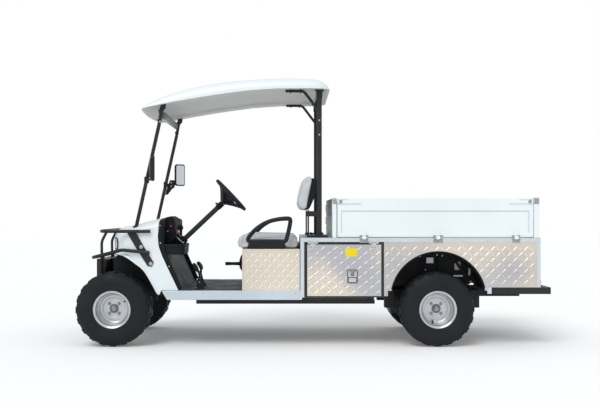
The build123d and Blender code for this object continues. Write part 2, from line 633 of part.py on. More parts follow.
def roof_profile(rise):
    """The roof from the side, raised: a long crown over an edge that falls towards the front."""
    with BuildSketch(Plane.XZ.offset(-ROOF_HALF_WIDTH)) as profile:
        with BuildLine():
            ThreePointArc(*ROOF_LIP)
            Line(ROOF_LIP[2], (-150, 1938))
            Line((-150, 1938), (-123, 1976 - rise))
            Line((-123, 1976 - rise), (-72, 2006 - rise))
            Line((-72, 2006 - rise), (62, 2026 - rise))
            ThreePointArc((62, 2026 - rise), (640, 2009 - rise), (1091, 1930 - rise))
            Line((1091, 1930 - rise), (1270, 1846 - rise))
            Line((1270, 1846 - rise), ROOF_LIP[0])
        make_face()
    extrude(profile.sketch, amount=2 * ROOF_HALF_WIDTH)


def roof_plan(inset):
    """The roof from above: rounded corners and a bowed front edge."""
    half = ROOF_HALF_WIDTH - inset
    rear = ROOF_REAR_X + inset
    corner = ROOF_REAR_CORNER
    with BuildSketch(Plane.XY.offset(1700)) as plan:
        with BuildLine():
            Line((rear, -half + corner), (rear, half - corner))
            RadiusArc((rear, half - corner), (rear + corner, half), corner)
            Line((rear + corner, half), (1225, half))
            ThreePointArc((1225, half), (1276, half - 18), (1299 - inset, half - 70))
            ThreePointArc((1299 - inset, half - 70), (1325 - inset, 0), (1299 - inset, -half + 70))
            ThreePointArc((1299 - inset, -half + 70), (1276, -half + 18), (1225, -half))
            Line((1225, -half), (rear + corner, -half))
            RadiusArc((rear + corner, -half), (rear, -half + corner), corner)
        make_face()
    extrude(plan.sketch, amount=400, mode=Mode.INTERSECT)


with BuildPart() as roof_hollow:
    roof_profile(SKIN)
    roof_plan(SKIN)

with BuildPart() as roof:
    roof_profile(0)
    roof_plan(0)
    add(roof_hollow.part, mode=Mode.SUBTRACT)
keep(roof.part, "roof")

with BuildPart() as roof_liner:
    with BuildSketch(Plane.XZ.offset(-ROOF_HALF_WIDTH)) as liner_section:
        with BuildLine():
            ThreePointArc((1312, 1787.5), (768, 1888), (265, 1942))
            Line((265, 1942), (-140, 1942))
            Line((-140, 1942), (-140, 1946))
            Line((-140, 1946), (265, 1946))
            ThreePointArc((265, 1946), (768, 1892), (1312, 1791.5))
            Line((1312, 1791.5), (1312, 1787.5))
        make_face()
    extrude(liner_section.sketch, amount=2 * ROOF_HALF_WIDTH)
    roof_plan(SKIN + 0.5)
keep(roof_liner.part, "roof_liner")

FRONT_POST_Y = 500
FRONT_BEAM_Z = (1732, 1778)
with BuildPart() as front_posts:
    for post_y in (FRONT_POST_Y, -FRONT_POST_Y):
        rod((1336, post_y, 888), (1160, post_y, 1676), 14)
        tube([(1166, post_y, 1649), (1158, post_y, 1690), (1132, post_y, 1823)], TUBE, 200)
        rod((1338, post_y, 879), (1334, post_y, 899), 24)
    block((1144, 1160), (-FRONT_POST_Y, FRONT_POST_Y), FRONT_BEAM_Z)
keep(front_posts.part, "front_posts")

MIRROR_Z = 1335.0
with BuildPart() as mirrors:
    for mirror_side, mirror_x, mirror_yaw in ((1, 1200, 0), (-1, 1150, 42)):
        with Locations(Location((mirror_x, mirror_side * 568, MIRROR_Z), (0, 0, mirror_yaw))):
            Box(34, 104, 190)
        rod((1252, mirror_side * 506, 1250), (mirror_x, mirror_side * 560, 1250), 7)
keep(mirrors.part, "mirrors")

POST_FRONT_X = -35.0
POST_REAR_X = -72.0
POST_WIDTH = 37.0
BRACE = 22.0
with BuildPart() as rear_posts:
    for side in (1, -1):
        post_y = side * POST_Y
        wide = (post_y - POST_WIDTH / 2, post_y + POST_WIDTH / 2)
        block((POST_REAR_X, POST_FRONT_X), wide, (DECK_TOP, 1942))
        block((-117, 42), (post_y - 35, post_y + 35), (DECK_TOP, 832))
        block((25, 37), (post_y - 15, post_y + 15), (832, 1024))
        block((POST_FRONT_X, 25), (post_y - 10, post_y + 10), (974, 1015))
        tube([(POST_REAR_X + 18, post_y, 1772), (66, post_y, 1930), (205, post_y, 1930)], BRACE, 45)
keep(rear_posts.part, "rear_posts")

with BuildPart() as post_crossbars:
    bar_half = POST_Y - POST_WIDTH / 2
    for bar_z in (980, 1900):
        block((POST_REAR_X + 6, POST_FRONT_X - 6), (-bar_half, bar_half), (bar_z, bar_z + 30))
keep(post_crossbars.part, "post_crossbars")

# ---------------------------------------------------------------- lockers, skirts and deck

DOOR_X = (-509.0, 42.0)
DOOR_Z = (382.0, 765.0)
HATCH_X = (-492.0, 25.0)
HATCH_Z = (400.0, 748.0)
with BuildPart() as lockers:
    block((LOCKER_REAR_X, LOCKER_FRONT_X), (LOCKER_IN, 600), (OUTRIGGER_HIGH, DECK_LOW))
    block((LOCKER_REAR_X + SKIN, LOCKER_FRONT_X - SKIN), (LOCKER_IN + SKIN, 594), (OUTRIGGER_HIGH + SKIN, 795),
          mode=Mode.SUBTRACT)
    block(HATCH_X, (590, 601), HATCH_Z, mode=Mode.SUBTRACT)
    block((63, LOCKER_FRONT_X), (600, BODY_HALF_WIDTH), (OUTRIGGER_HIGH, DECK_LOW))
    block((LOCKER_REAR_X, 63), (600, BODY_HALF_WIDTH), (784, DECK_LOW))
    mirror(about=Plane.XZ)
keep(lockers.part, "lockers")

with BuildPart() as door_seals:
    for side in (1, -1):
        seal_y = (side * 600, side * 605)
        block((LOCKER_REAR_X, 63), seal_y, (371, 783.5))
        block(HATCH_X, (side * 599, side * 606), HATCH_Z, mode=Mode.SUBTRACT)
keep(door_seals.part, "door_seals")

DOOR_HINGES = ((-490, -418), (-39, 37))
with BuildPart() as locker_door:
    block(DOOR_X, (610, 618), DOOR_Z)
    for hinge_low, hinge_high in DOOR_HINGES:
        rod((hinge_low + 18, DOOR_HINGE_Y, DOOR_HINGE_Z), (hinge_high - 18, DOOR_HINGE_Y, DOOR_HINGE_Z), 5.5)
        block((hinge_low + 18, hinge_high - 18), (614, 618), (760, DOOR_HINGE_Z))
    block((-331, -258), (618, 623), (480, 577))
keep_pair(locker_door.part, "locker_door")

with BuildPart() as door_hinges:
    for side in (1, -1):
        for hinge_low, hinge_high in DOOR_HINGES:
            for knuckle_low in (hinge_low, hinge_high - 17):
                rod((knuckle_low, side * DOOR_HINGE_Y, DOOR_HINGE_Z),
                    (knuckle_low + 17, side * DOOR_HINGE_Y, DOOR_HINGE_Z), 5.5)
                block((knuckle_low, knuckle_low + 17), (side * 606, side * 610), (DOOR_HINGE_Z, 796))
keep(door_hinges.part, "door_hinges")

SKIRT_POINTS = [(LOCKER_REAR_X, 380), (-560, 380), (-560, 420), (-1332, 420), (-1332, STEP_HIGH),
                (DECK_REAR_X, STEP_HIGH), (DECK_REAR_X, DECK_LOW), (LOCKER_REAR_X, DECK_LOW)]
with BuildPart() as skirts:
    side_plate(SKIRT_POINTS, 600, BODY_HALF_WIDTH)
    rod((ARCH_X, 590, ARCH_Z), (ARCH_X, 620, ARCH_Z), ARCH_RADIUS, mode=Mode.SUBTRACT)
    mirror(about=Plane.XZ)
keep(skirts.part, "skirts")

LINER_LOW = 430.0
# The front wheels' inner walls stand on the rails, under the cowl.
FRONT_LINER_Y = 236.0
FRONT_LINER = [(1190, RAIL_HIGH), (1520, RAIL_HIGH), (1560, 520), (1560, 640), (1490, 700), (1300, 700), (1190, 560)]
with BuildPart() as arch_liners:
    rod((ARCH_X, 336, ARCH_Z), (ARCH_X, 599.8, ARCH_Z), ARCH_RADIUS + 5)
    rod((ARCH_X, 341, ARCH_Z), (ARCH_X, 601, ARCH_Z), ARCH_RADIUS, mode=Mode.SUBTRACT)
    block((ARCH_X - 400, ARCH_X + 400), (300, 620), (-50, LINER_LOW), mode=Mode.SUBTRACT)
    rod((ARCH_X, 300, ARCH_Z), (ARCH_X, 350, ARCH_Z), ARCH_RADIUS - 25, mode=Mode.SUBTRACT)
    side_plate(FRONT_LINER, FRONT_LINER_Y, FRONT_LINER_Y + 4)
    block((1190, 1520), (RAIL_OUT, FRONT_LINER_Y + 4), (RAIL_HIGH, RAIL_HIGH + 4))
    mirror(about=Plane.XZ)
keep(arch_liners.part, "arch_liners")

# The bed's own floor sheet lies on the deck, inside the drop sides, headboard and tailgate.
BED_FLOOR_X = (-1656.0, -176.0)
BED_FLOOR_Y = 562.0
BED_FLOOR_TOP = DECK_TOP + 3
with BuildPart() as deck_plate:
    block((DECK_REAR_X, LOCKER_FRONT_X), (-BODY_HALF_WIDTH, BODY_HALF_WIDTH), (DECK_LOW, DECK_TOP))
    block(BED_FLOOR_X, (-BED_FLOOR_Y, BED_FLOOR_Y), (DECK_TOP, BED_FLOOR_TOP))
keep(deck_plate.part, "deck_plate")

with BuildPart() as rear_panel:
    block((DECK_REAR_X, DECK_REAR_X + SKIN), (-600, 600), (STEP_HIGH, DECK_LOW))
keep(rear_panel.part, "rear_panel")

with BuildPart() as tail_lamps:
    for side in (1, -1):
        block((DECK_REAR_X - 10, DECK_REAR_X), (side * 480, side * 585), (455, 500))
keep(tail_lamps.part, "tail_lamps")

with BuildPart() as rear_step:
    block((STEP_REAR_X, -1332), (556, 600), (STEP_LOW, STEP_HIGH))
    block((STEP_REAR_X, -1640), (RAIL_IN, RAIL_OUT), (372, 440))
    mirror(about=Plane.XZ)
    block((STEP_REAR_X, STEP_REAR_X + 44), (-600, 600), (STEP_LOW, STEP_HIGH))
    rod((STEP_REAR_X + 22, 0, 380), (STEP_REAR_X + 22, 0, 460), 9, mode=Mode.SUBTRACT)
keep(rear_step.part, "rear_step")

# ---------------------------------------------------------------- cargo bed

POST_LENGTH = 30.0
with BuildPart() as headboard:
    block((HEADBOARD_X - 24, HEADBOARD_X), (-568, 568), (DECK_TOP, SIDE_TOP))
keep(headboard.part, "headboard")

with BuildPart() as bed_posts:
    for side in (1, -1):
        for post_low, post_high in ((HEADBOARD_X - POST_LENGTH, HEADBOARD_X), (TAILGATE_OUT, TAILGATE_OUT + 40)):
            block((post_low, post_high), (side * 570, side * PANEL_OUT), (DECK_TOP, SIDE_TOP))
keep(bed_posts.part, "bed_posts")

SIDE_X = (-1644.0, HEADBOARD_X - 36)
RAIL_HEIGHT = 93.0
SIDE_HINGES = (-382.0, -932.0, -1514.0)
with BuildPart() as drop_side:
    block(SIDE_X, (PANEL_OUT - PANEL, PANEL_OUT - 4), (SIDE_LOW, SIDE_TOP))
    block(SIDE_X, (PANEL_OUT - 4, PANEL_OUT), (SIDE_TOP - RAIL_HEIGHT, SIDE_TOP))
    block(SIDE_X, (PANEL_OUT - 4, PANEL_OUT), (SIDE_LOW, SIDE_LOW + 22))
    for stile_low in (SIDE_X[0], SIDE_X[1] - 30):
        block((stile_low, stile_low + 30), (PANEL_OUT - 4, PANEL_OUT), (SIDE_LOW, SIDE_TOP))
    for hinge_x in SIDE_HINGES:
        arm = (hinge_x - 15, hinge_x + 15)
        rod((arm[0], SIDE_HINGE_Y, BED_HINGE_Z), (arm[1], SIDE_HINGE_Y, BED_HINGE_Z), KNUCKLE_RADIUS)
        block(arm, (PANEL_OUT, SIDE_HINGE_Y), (BED_HINGE_Z + 6, BED_HINGE_Z + 16))
        block(arm, (PANEL_OUT, PANEL_OUT + 5), (BED_HINGE_Z + 10, BED_HINGE_Z + 60))
    for lever_low, lever_high in ((SIDE_X[0] + 2, -1465), (-356, SIDE_X[1] - 2)):
        block((lever_low, lever_high), (PANEL_OUT, PANEL_OUT + 9), (1072, 1096))
keep_pair(drop_side.part, "drop_side")

TAILGATE_HINGES = (-380.0, 0.0, 380.0)
TAILGATE_HALF = 562.0
with BuildPart() as tailgate:
    half = TAILGATE_HALF
    block((TAILGATE_OUT + 4, TAILGATE_OUT + PANEL), (-half, half), (SIDE_LOW, SIDE_TOP))
    block((TAILGATE_OUT, TAILGATE_OUT + 4), (-half, half), (SIDE_TOP - RAIL_HEIGHT, SIDE_TOP))
    block((TAILGATE_OUT, TAILGATE_OUT + 4), (-half, half), (SIDE_LOW, SIDE_LOW + 22))
    for stile_low in (-half, half - 30):
        block((TAILGATE_OUT, TAILGATE_OUT + 4), (stile_low, stile_low + 30), (SIDE_LOW, SIDE_TOP))
    for hinge_y in TAILGATE_HINGES:
        arm = (hinge_y - 15, hinge_y + 15)
        rod((TAILGATE_HINGE_X, arm[0], BED_HINGE_Z), (TAILGATE_HINGE_X, arm[1], BED_HINGE_Z), KNUCKLE_RADIUS)
        block((TAILGATE_HINGE_X, TAILGATE_OUT), arm, (BED_HINGE_Z + 6, BED_HINGE_Z + 16))
        block((TAILGATE_OUT - 5, TAILGATE_OUT), arm, (BED_HINGE_Z + 10, BED_HINGE_Z + 60))
keep(tailgate.part, "tailgate")

with BuildPart() as bed_hinges:
    for side in (1, -1):
        for hinge_x in SIDE_HINGES:
            for lug_low in (hinge_x - 30, hinge_x + 16):
                lug = (lug_low, lug_low + 14)
                rod((lug[0], side * SIDE_HINGE_Y, BED_HINGE_Z), (lug[1], side * SIDE_HINGE_Y, BED_HINGE_Z),
                    KNUCKLE_RADIUS)
                block(lug, (side * BODY_HALF_WIDTH, side * SIDE_HINGE_Y), (BED_HINGE_Z - 9, BED_HINGE_Z))
    for hinge_y in TAILGATE_HINGES:
        for lug_low in (hinge_y - 30, hinge_y + 16):
            lug = (lug_low, lug_low + 14)
            rod((TAILGATE_HINGE_X, lug[0], BED_HINGE_Z), (TAILGATE_HINGE_X, lug[1], BED_HINGE_Z), KNUCKLE_RADIUS)
            block((TAILGATE_HINGE_X, DECK_REAR_X), lug, (BED_HINGE_Z - 9, BED_HINGE_Z))
keep(bed_hinges.part, "bed_hinges")
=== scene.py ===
"""A utility golf cart with an aluminium drop-side cargo bed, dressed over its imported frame."""

from math import atan2, cos, hypot, pi, radians, sin

import bmesh
import bpy
from mathutils import Matrix, Vector
from mathutils.bvhtree import BVHTree


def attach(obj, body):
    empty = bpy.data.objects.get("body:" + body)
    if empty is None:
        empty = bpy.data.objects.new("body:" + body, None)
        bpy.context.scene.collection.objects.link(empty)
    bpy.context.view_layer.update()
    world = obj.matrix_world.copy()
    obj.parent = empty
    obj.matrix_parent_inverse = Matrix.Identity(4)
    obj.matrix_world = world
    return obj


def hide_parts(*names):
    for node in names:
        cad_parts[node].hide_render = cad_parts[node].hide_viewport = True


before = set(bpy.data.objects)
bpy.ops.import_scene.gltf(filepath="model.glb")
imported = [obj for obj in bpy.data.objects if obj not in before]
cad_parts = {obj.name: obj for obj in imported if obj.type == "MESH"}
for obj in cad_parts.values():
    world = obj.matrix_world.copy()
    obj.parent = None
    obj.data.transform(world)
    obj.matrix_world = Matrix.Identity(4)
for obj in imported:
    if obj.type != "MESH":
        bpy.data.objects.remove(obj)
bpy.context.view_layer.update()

# ---------------------------------------------------------------- camera
# A level camera at seat height looks square at the left side of the cart from about seven metres away. Its
# lens axis sits a little off the middle of the frame, so the picture is shifted and not turned.
camera = bpy.data.objects.new("camera", bpy.data.cameras.new("camera"))
bpy.context.collection.objects.link(camera)
camera.location = (0.158, 7.110, 0.985)
camera.rotation_euler = (radians(90), 0, radians(180))
camera.data.lens = 52.38
camera.data.shift_x = 0.014
camera.data.shift_y = 0.020
bpy.context.scene.camera = camera

# ---------------------------------------------------------------- chassis
# Rails, cross-members and bed beams are welded steel box section, sprayed satin black after welding. Axles
# and springs are bolted under them, and the motor sits on the rear axle's gear case.
FRAME_BLACK = (0.016, 0.018, 0.022)
CAST_GREY = (0.045, 0.048, 0.053)
SPRING_BLACK = (0.010, 0.011, 0.013)


def add_node(tree, kind, values=(), **settings):
    """Adds a shader node with its own settings, and with starting values for its inputs."""
    node = tree.nodes.new(f"ShaderNode{kind}")
    for name, value in settings.items():
        setattr(node, name, value)
    for socket, value in dict(values).items():
        node.inputs[socket].default_value = value
    return node


def drifting_finish():
    """A group whose colour and roughness drift in patches, with a fine grain and a little settled dust."""
    group = bpy.data.node_groups.new("drifting_finish", "ShaderNodeTree")
    inputs = {
        "Colour": (0.5, 0.5, 0.5, 1.0), "Roughness": 0.5, "Mottle": 0.1, "Mottle Size": 0.12, "Grain": 0.1,
        "Grain Size": 0.002, "Dust": 0.0,
    }
    for name, start in inputs.items():
        kind = "NodeSocketColor" if name == "Colour" else "NodeSocketFloat"
        group.interface.new_socket(name, in_out="INPUT", socket_type=kind).default_value = start
    for name, kind in (("Colour", "Color"), ("Roughness", "Float"), ("Normal", "Vector")):
        group.interface.new_socket(name, in_out="OUTPUT", socket_type=f"NodeSocket{kind}")
    link = group.links.new
    given = group.nodes.new("NodeGroupInput")
    out = group.nodes.new("NodeGroupOutput")
    place = add_node(group, "TexCoord")

    def per_size(size_socket):
        scale = add_node(group, "Math", {0: 1.0}, operation="DIVIDE")
        link(size_socket, scale.inputs[1])
        return scale.outputs[0]

    def cloud(scale_socket, detail):
        noise = add_node(group, "TexNoise", {"Detail": detail})
        link(place.outputs["Object"], noise.inputs["Vector"])
        link(scale_socket, noise.inputs["Scale"])
        return noise.outputs[0]

    def spread(value, low, high):
        reach = {"From Min": 0.3, "From Max": 0.7, "To Min": low, "To Max": high}
        ranged = add_node(group, "MapRange", reach)
        link(value, ranged.inputs["Value"])
        return ranged.outputs["Result"]

    def combine(operation, first, second):
        step = add_node(group, "Math", operation=operation)
        link(first, step.inputs[0])
        if isinstance(second, float):
            step.inputs[1].default_value = second
        else:
            link(second, step.inputs[1])
        return step.outputs[0]

    patches = spread(cloud(per_size(given.outputs["Mottle Size"]), 5.0), -1.0, 1.0)
    drift = combine("MULTIPLY", patches, given.outputs["Mottle"])
    shade = combine("ADD", drift, 1.0)
    tinted = add_node(group, "VectorMath", operation="SCALE")
    link(given.outputs["Colour"], tinted.inputs[0])
    link(shade, tinted.inputs["Scale"])
    settled = cloud(combine("MULTIPLY", per_size(given.outputs["Mottle Size"]), 0.45), 8.0)
    dust = combine("MULTIPLY", spread(settled, 0.0, 1.0), given.outputs["Dust"])
    dusty = add_node(group, "Mix", {"B": (0.36, 0.34, 0.30, 1.0)}, data_type="RGBA")
    link(dust, dusty.inputs["Factor"])
    link(tinted.outputs[0], dusty.inputs["A"])
    link(dusty.outputs["Result"], out.inputs["Colour"])
    rough = combine("ADD", given.outputs["Roughness"], combine("MULTIPLY", drift, 0.8))
    link(combine("ADD", rough, combine("MULTIPLY", dust, 0.35)), out.inputs["Roughness"])
    relief = add_node(group, "Bump", {"Distance": 0.0006})
    link(given.outputs["Grain"], relief.inputs["Strength"])
    link(cloud(per_size(given.outputs["Grain Size"]), 3.0), relief.inputs["Height"])
    link(relief.outputs["Normal"], out.inputs["Normal"])
    return group


drifting = drifting_finish()


def finish(
    name, colour, rough, mottle=0.12, patch=0.12, grain=0.15, grain_size=0.002, dust=0.0, specular=0.5,
    metallic=0.0, coat=0.0, shader=()
):
    """A finish for one kind of surface: its plain sockets are set by name and the rest drifts over it."""
    material = bpy.data.materials.new(name)
    material.use_nodes = True
    tree = material.node_tree
    glossy = tree.nodes["Principled BSDF"]
    plain = {"Specular IOR Level": specular, "Metallic": metallic, "Coat Weight": coat, **dict(shader)}
    for socket, value in plain.items():
        glossy.inputs[socket].default_value = value
    varied = tree.nodes.new("ShaderNodeGroup")
    varied.node_tree = drifting
    drift = {
        "Colour": (*colour, 1.0), "Roughness": rough, "Mottle": mottle, "Mottle Size": patch, "Grain": grain,
        "Grain Size": grain_size, "Dust": dust,
    }
    for socket, value in drift.items():
        varied.inputs[socket].default_value = value
    for socket, target in (("Colour", "Base Color"), ("Roughness", "Roughness"), ("Normal", "Normal")):
        tree.links.new(varied.outputs[socket], glossy.inputs[target])
    return material


def dress(material, width, *names):
    """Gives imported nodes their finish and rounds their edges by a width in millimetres."""
    for name in names:
        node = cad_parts[name]
        node.data.materials.clear()
        node.data.materials.append(material)
        joined = node.modifiers.new("joined", "WELD")
        joined.merge_threshold = 0.00002
        flattened = node.modifiers.new("flattened", "DECIMATE")
        flattened.decimate_type = "DISSOLVE"
        flattened.angle_limit = radians(0.6)
        soften(node, width)


def soften(piece, width, segments=2):
    """Rounds a piece's sharp edges and keeps its flat faces flat."""
    rounded = piece.modifiers.new("rounded", "BEVEL")
    rounded.width = width * 0.001
    rounded.segments = segments
    rounded.limit_method = "ANGLE"
    rounded.angle_limit = radians(38)
    rounded.miter_outer = "MITER_ARC"
    piece.modifiers.new("even", "WEIGHTED_NORMAL").keep_sharp = False


frame_paint = finish(
    "frame_paint", FRAME_BLACK, rough=0.42, mottle=0.18, patch=0.2, grain=0.25, grain_size=0.0016,
    dust=0.03, specular=0.25
)
cast_metal = finish(
    "cast_metal", CAST_GREY, rough=0.55, mottle=0.2, patch=0.08, grain=0.6, grain_size=0.0025, dust=0.12,
    metallic=0.5
)
spring_steel = finish(
    "spring_steel", SPRING_BLACK, rough=0.5, mottle=0.25, patch=0.05, grain=0.3, grain_size=0.0015,
    dust=0.1, specular=0.25
)
dress(frame_paint, 1.5, "chassis_frame", "bed_subframe", "tie_rod", "knuckle_left", "knuckle_right")
dress(cast_metal, 2.0, "front_axle", "rear_axle", "drive_motor")
dress(spring_steel, 0.8, "leaf_springs", "shock_absorbers")

# ---------------------------------------------------------------- tyres
# Each tyre is one moulding of black rubber: a smooth sidewall with a rim guard, and a tread of chunky lugs
# whose shoulder blocks wrap down over the edge. It is pressed on to its rim and turns with it.
WHEEL_X = {"front": 1496, "rear": -932}
WHEEL_Y = 500
WHEEL_Z = 279.5
SIDEWALL = (
    (97, 124), (105, 127), (112, 133), (117, 141), (121, 147), (125.5, 152), (126.5, 158), (124.5, 163),
    (127, 176), (128.6, 190), (128.6, 204), (129.6, 208), (128, 212), (126.4, 222), (123, 235),
    (117.5, 247),
)
CARCASS = SIDEWALL + ((110, 257.5), (101, 266), (88, 271), (60, 272.2), (20, 272.4))
# A lug's top line across the tyre: distance from the middle, radius, and how high it stands.
LONG_LUG = (
    (10, 279.5, 8), (34, 279.5, 8), (60, 279.5, 8), (83, 279.0, 8), (95, 276.0, 7.6), (104.5, 269.5, 7.0),
    (112, 258.8, 5.4), (118.5, 246.2, 3.2), (124, 232.6, 1.6),
)
GAP_BLOCK = ((14, 278.6, 7), (26, 278.8, 7), (38, 278.6, 7))
LUG_COUNT = 20
LUG_WIDTH = 43
BLOCK_WIDTH = 24
LUG_TWIST = 0.045
RUBBER = (0.0105, 0.0120, 0.0150)


def mount(name, shape, material, body, replaced=(), smooth=32, edge=0, segments=2):
    """Turns a shape drawn in millimetres into a named piece that rides on its body, with rounded edges."""
    bmesh.ops.scale(shape, vec=(0.001, 0.001, 0.001), verts=shape.verts)
    mesh = bpy.data.meshes.new(name)
    shape.to_mesh(mesh)
    shape.free()
    mesh.shade_smooth()
    mesh.set_sharp_from_angle(angle=radians(smooth))
    piece = bpy.data.objects.new(name, mesh)
    bpy.context.collection.objects.link(piece)
    for layer in material if isinstance(material, (list, tuple)) else [material]:
        mesh.materials.append(layer)
    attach(piece, body)
    if replaced:
        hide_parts(*replaced)
    if edge:
        soften(piece, edge, segments)
    return piece


def add_lathe(shape, profile, centre, axis="Y", steps=72, finish_index=0, way=1, closed=False):
    """Turns a profile of (distance along the axis, radius) about an axis; a way of -1 points it backward."""
    along = {"X": Vector((1, 0, 0)), "Y": Vector((0, 1, 0)), "Z": Vector((0, 0, 1))}[axis]
    up = {"X": Vector((0, 0, 1)), "Y": Vector((0, 0, 1)), "Z": Vector((1, 0, 0))}[axis]
    across = along.cross(up)
    rings = []
    for step in range(steps):
        angle = 2 * pi * step / steps
        spoke = up * cos(angle) + across * sin(angle)
        rings.append([shape.verts.new(Vector(centre) + along * (way * a) + spoke * r) for a, r in profile])
    count = len(profile) if closed else len(profile) - 1
    faces = []
    for step, ring in enumerate(rings):
        after = rings[(step + 1) % steps]
        for i in range(count):
            j = (i + 1) % len(profile)
            faces.append(shape.faces.new((ring[i], ring[j], after[j], after[i])))
    if not closed:
        for end in (0, -1):
            if profile[end][1] > 0:
                faces.append(shape.faces.new([ring[end] for ring in rings]))
    bmesh.ops.recalc_face_normals(shape, faces=faces)
    for face in faces:
        face.material_index = finish_index


def add_lug(shape, line, start, width, twist, centre, side):
    """Raises one lug from the carcass along its top line, wider at its foot and twisted round the tyre."""
    corners = []
    for i, (offset, radius, height) in enumerate(line):
        before = line[max(i - 1, 0)]
        after = line[min(i + 1, len(line) - 1)]
        run = Vector((after[0] - before[0], after[1] - before[1])).normalized()
        inward = Vector((run.y, -run.x))
        foot = Vector((offset, radius)) + inward * (height + 1.5)
        middle = start + twist * (offset - 60) / 60
        rows = []
        for (across, out), half in (((foot.x, foot.y), width * 0.58), ((offset, radius), width * 0.46)):
            for way in (-1, 1):
                angle = middle + way * half / radius
                spoke = Vector((sin(angle), 0, cos(angle))) * out
                rows.append(shape.verts.new(Vector(centre) + spoke + Vector((0, side * across, 0))))
        corners.append(rows)
    faces = []
    for near, far in zip(corners, corners[1:]):
        for a, b in ((0, 1), (1, 3), (3, 2), (2, 0)):
            faces.append(shape.faces.new((near[a], near[b], far[b], far[a])))
    for end in (corners[0], corners[-1]):
        faces.append(shape.faces.new((end[0], end[1], end[3], end[2])))
    bmesh.ops.recalc_face_normals(shape, faces=faces)


tyre_rubber = finish(
    "tyre_rubber", RUBBER, rough=0.62, mottle=0.25, patch=0.09, grain=0.5, grain_size=0.0011, dust=0.02,
    specular=0.2
)
for axle, wheel_x in WHEEL_X.items():
    for hand, side in (("left", 1), ("right", -1)):
        tyre = bmesh.new()
        hub_point = (wheel_x, side * WHEEL_Y, WHEEL_Z)
        outline = [*CARCASS, *((-a, r) for a, r in reversed(CARCASS)), (-90, 120), (90, 120)]
        add_lathe(tyre, outline, hub_point, steps=96, closed=True)
        for number in range(LUG_COUNT):
            turn = 2 * pi * number / LUG_COUNT
            for face_side, offset_turn in ((1, 0), (-1, pi / LUG_COUNT)):
                start = turn + offset_turn
                twist = LUG_TWIST * face_side
                between_lugs = start + pi / LUG_COUNT
                add_lug(tyre, LONG_LUG, start, LUG_WIDTH, twist, hub_point, face_side)
                add_lug(tyre, GAP_BLOCK, between_lugs, BLOCK_WIDTH, twist, hub_point, face_side)
        node = f"tyre_{axle}_{hand}"
        body = f"wheel_{axle}_{hand}"
        mount(f"{node}_moulding", tyre, tyre_rubber, body, [node], edge=2.6)

# ---------------------------------------------------------------- rims
# A rim is two pressed steel shells welded together and sprayed silver: a rolled lip, a stepped deep dish
# and a dished centre. Four nuts hold it to the hub, whose cap stands in the middle, and a rubber valve
# leans outward.
RIM_SKIN = (
    (117.4, 139.7), (118, 138.4), (117.6, 136.6), (115.2, 134.2), (112.6, 131.4), (111.6, 127),
    (110.4, 124.6), (107, 123.4), (92, 122.4), (88.4, 120.6), (86.4, 117), (84, 115.6), (64, 114.2),
    (61, 112.2), (59.4, 109.2), (57, 108), (34, 106.6), (28, 104.4), (25, 100.4), (24, 95), (25.4, 86),
    (27.8, 77), (28, 70), (26, 62), (23.8, 55), (23, 46), (23, 33),
)
RIM_BACK = (
    (19, 33), (19, 46), (19.6, 56), (22, 64), (24, 71), (23.8, 76), (21.6, 85), (20, 94), (18, 100),
    (8, 104), (-40, 105), (-62, 110), (-84, 118), (-108, 122), (-111, 126), (-113, 131), (-117.6, 136.6),
    (-118, 138.4), (-117.4, 139.7), (-113.6, 139.4), (-109.6, 132), (-106, 127.5), (-88, 124), (-66, 114),
    (-40, 109), (30, 110), (54, 112), (62, 117), (84, 119.4), (89, 125), (106, 127.5), (109.6, 132),
    (113.6, 139.4),
)
WHEEL_SILVER = (0.60, 0.62, 0.64)
NUT_CIRCLE = 51
HUB_BARREL = ((-32, 0), (-32, 36), (17, 36), (23.4, 34.6), (29, 33), (30, 31), (30, 0))
HUB_CAP = ((24, 0), (24, 22), (40, 21), (44, 18.5), (46.5, 13), (47.5, 0))
NUT_COLLAR = ((20, 0), (20, 12.4), (25, 12), (27, 10), (27, 0))
NUT_FLATS = ((26, 0), (26, 9.6), (36.5, 9.6), (38.5, 8.2), (38.5, 0))
VALVE = ((-24, 0), (-24, 6.5), (-12, 5.8), (10, 4.6), (14, 4.2), (14, 3.8), (24, 3.8), (25, 3), (25, 0))
VALVE_DEPTH = 57
VALVE_RADIUS = 103
VALVE_LEAN = 14
VALVE_TURN = {"front": -0.98, "rear": 2.83}


def spun(shape, first, turn, centre):
    """Turns what was added since the first vertex about the wheel's own axis."""
    shape.verts.ensure_lookup_table()
    turned = shape.verts[first:]
    bmesh.ops.rotate(shape, cent=centre, matrix=Matrix.Rotation(turn, 3, "Y"), verts=turned)


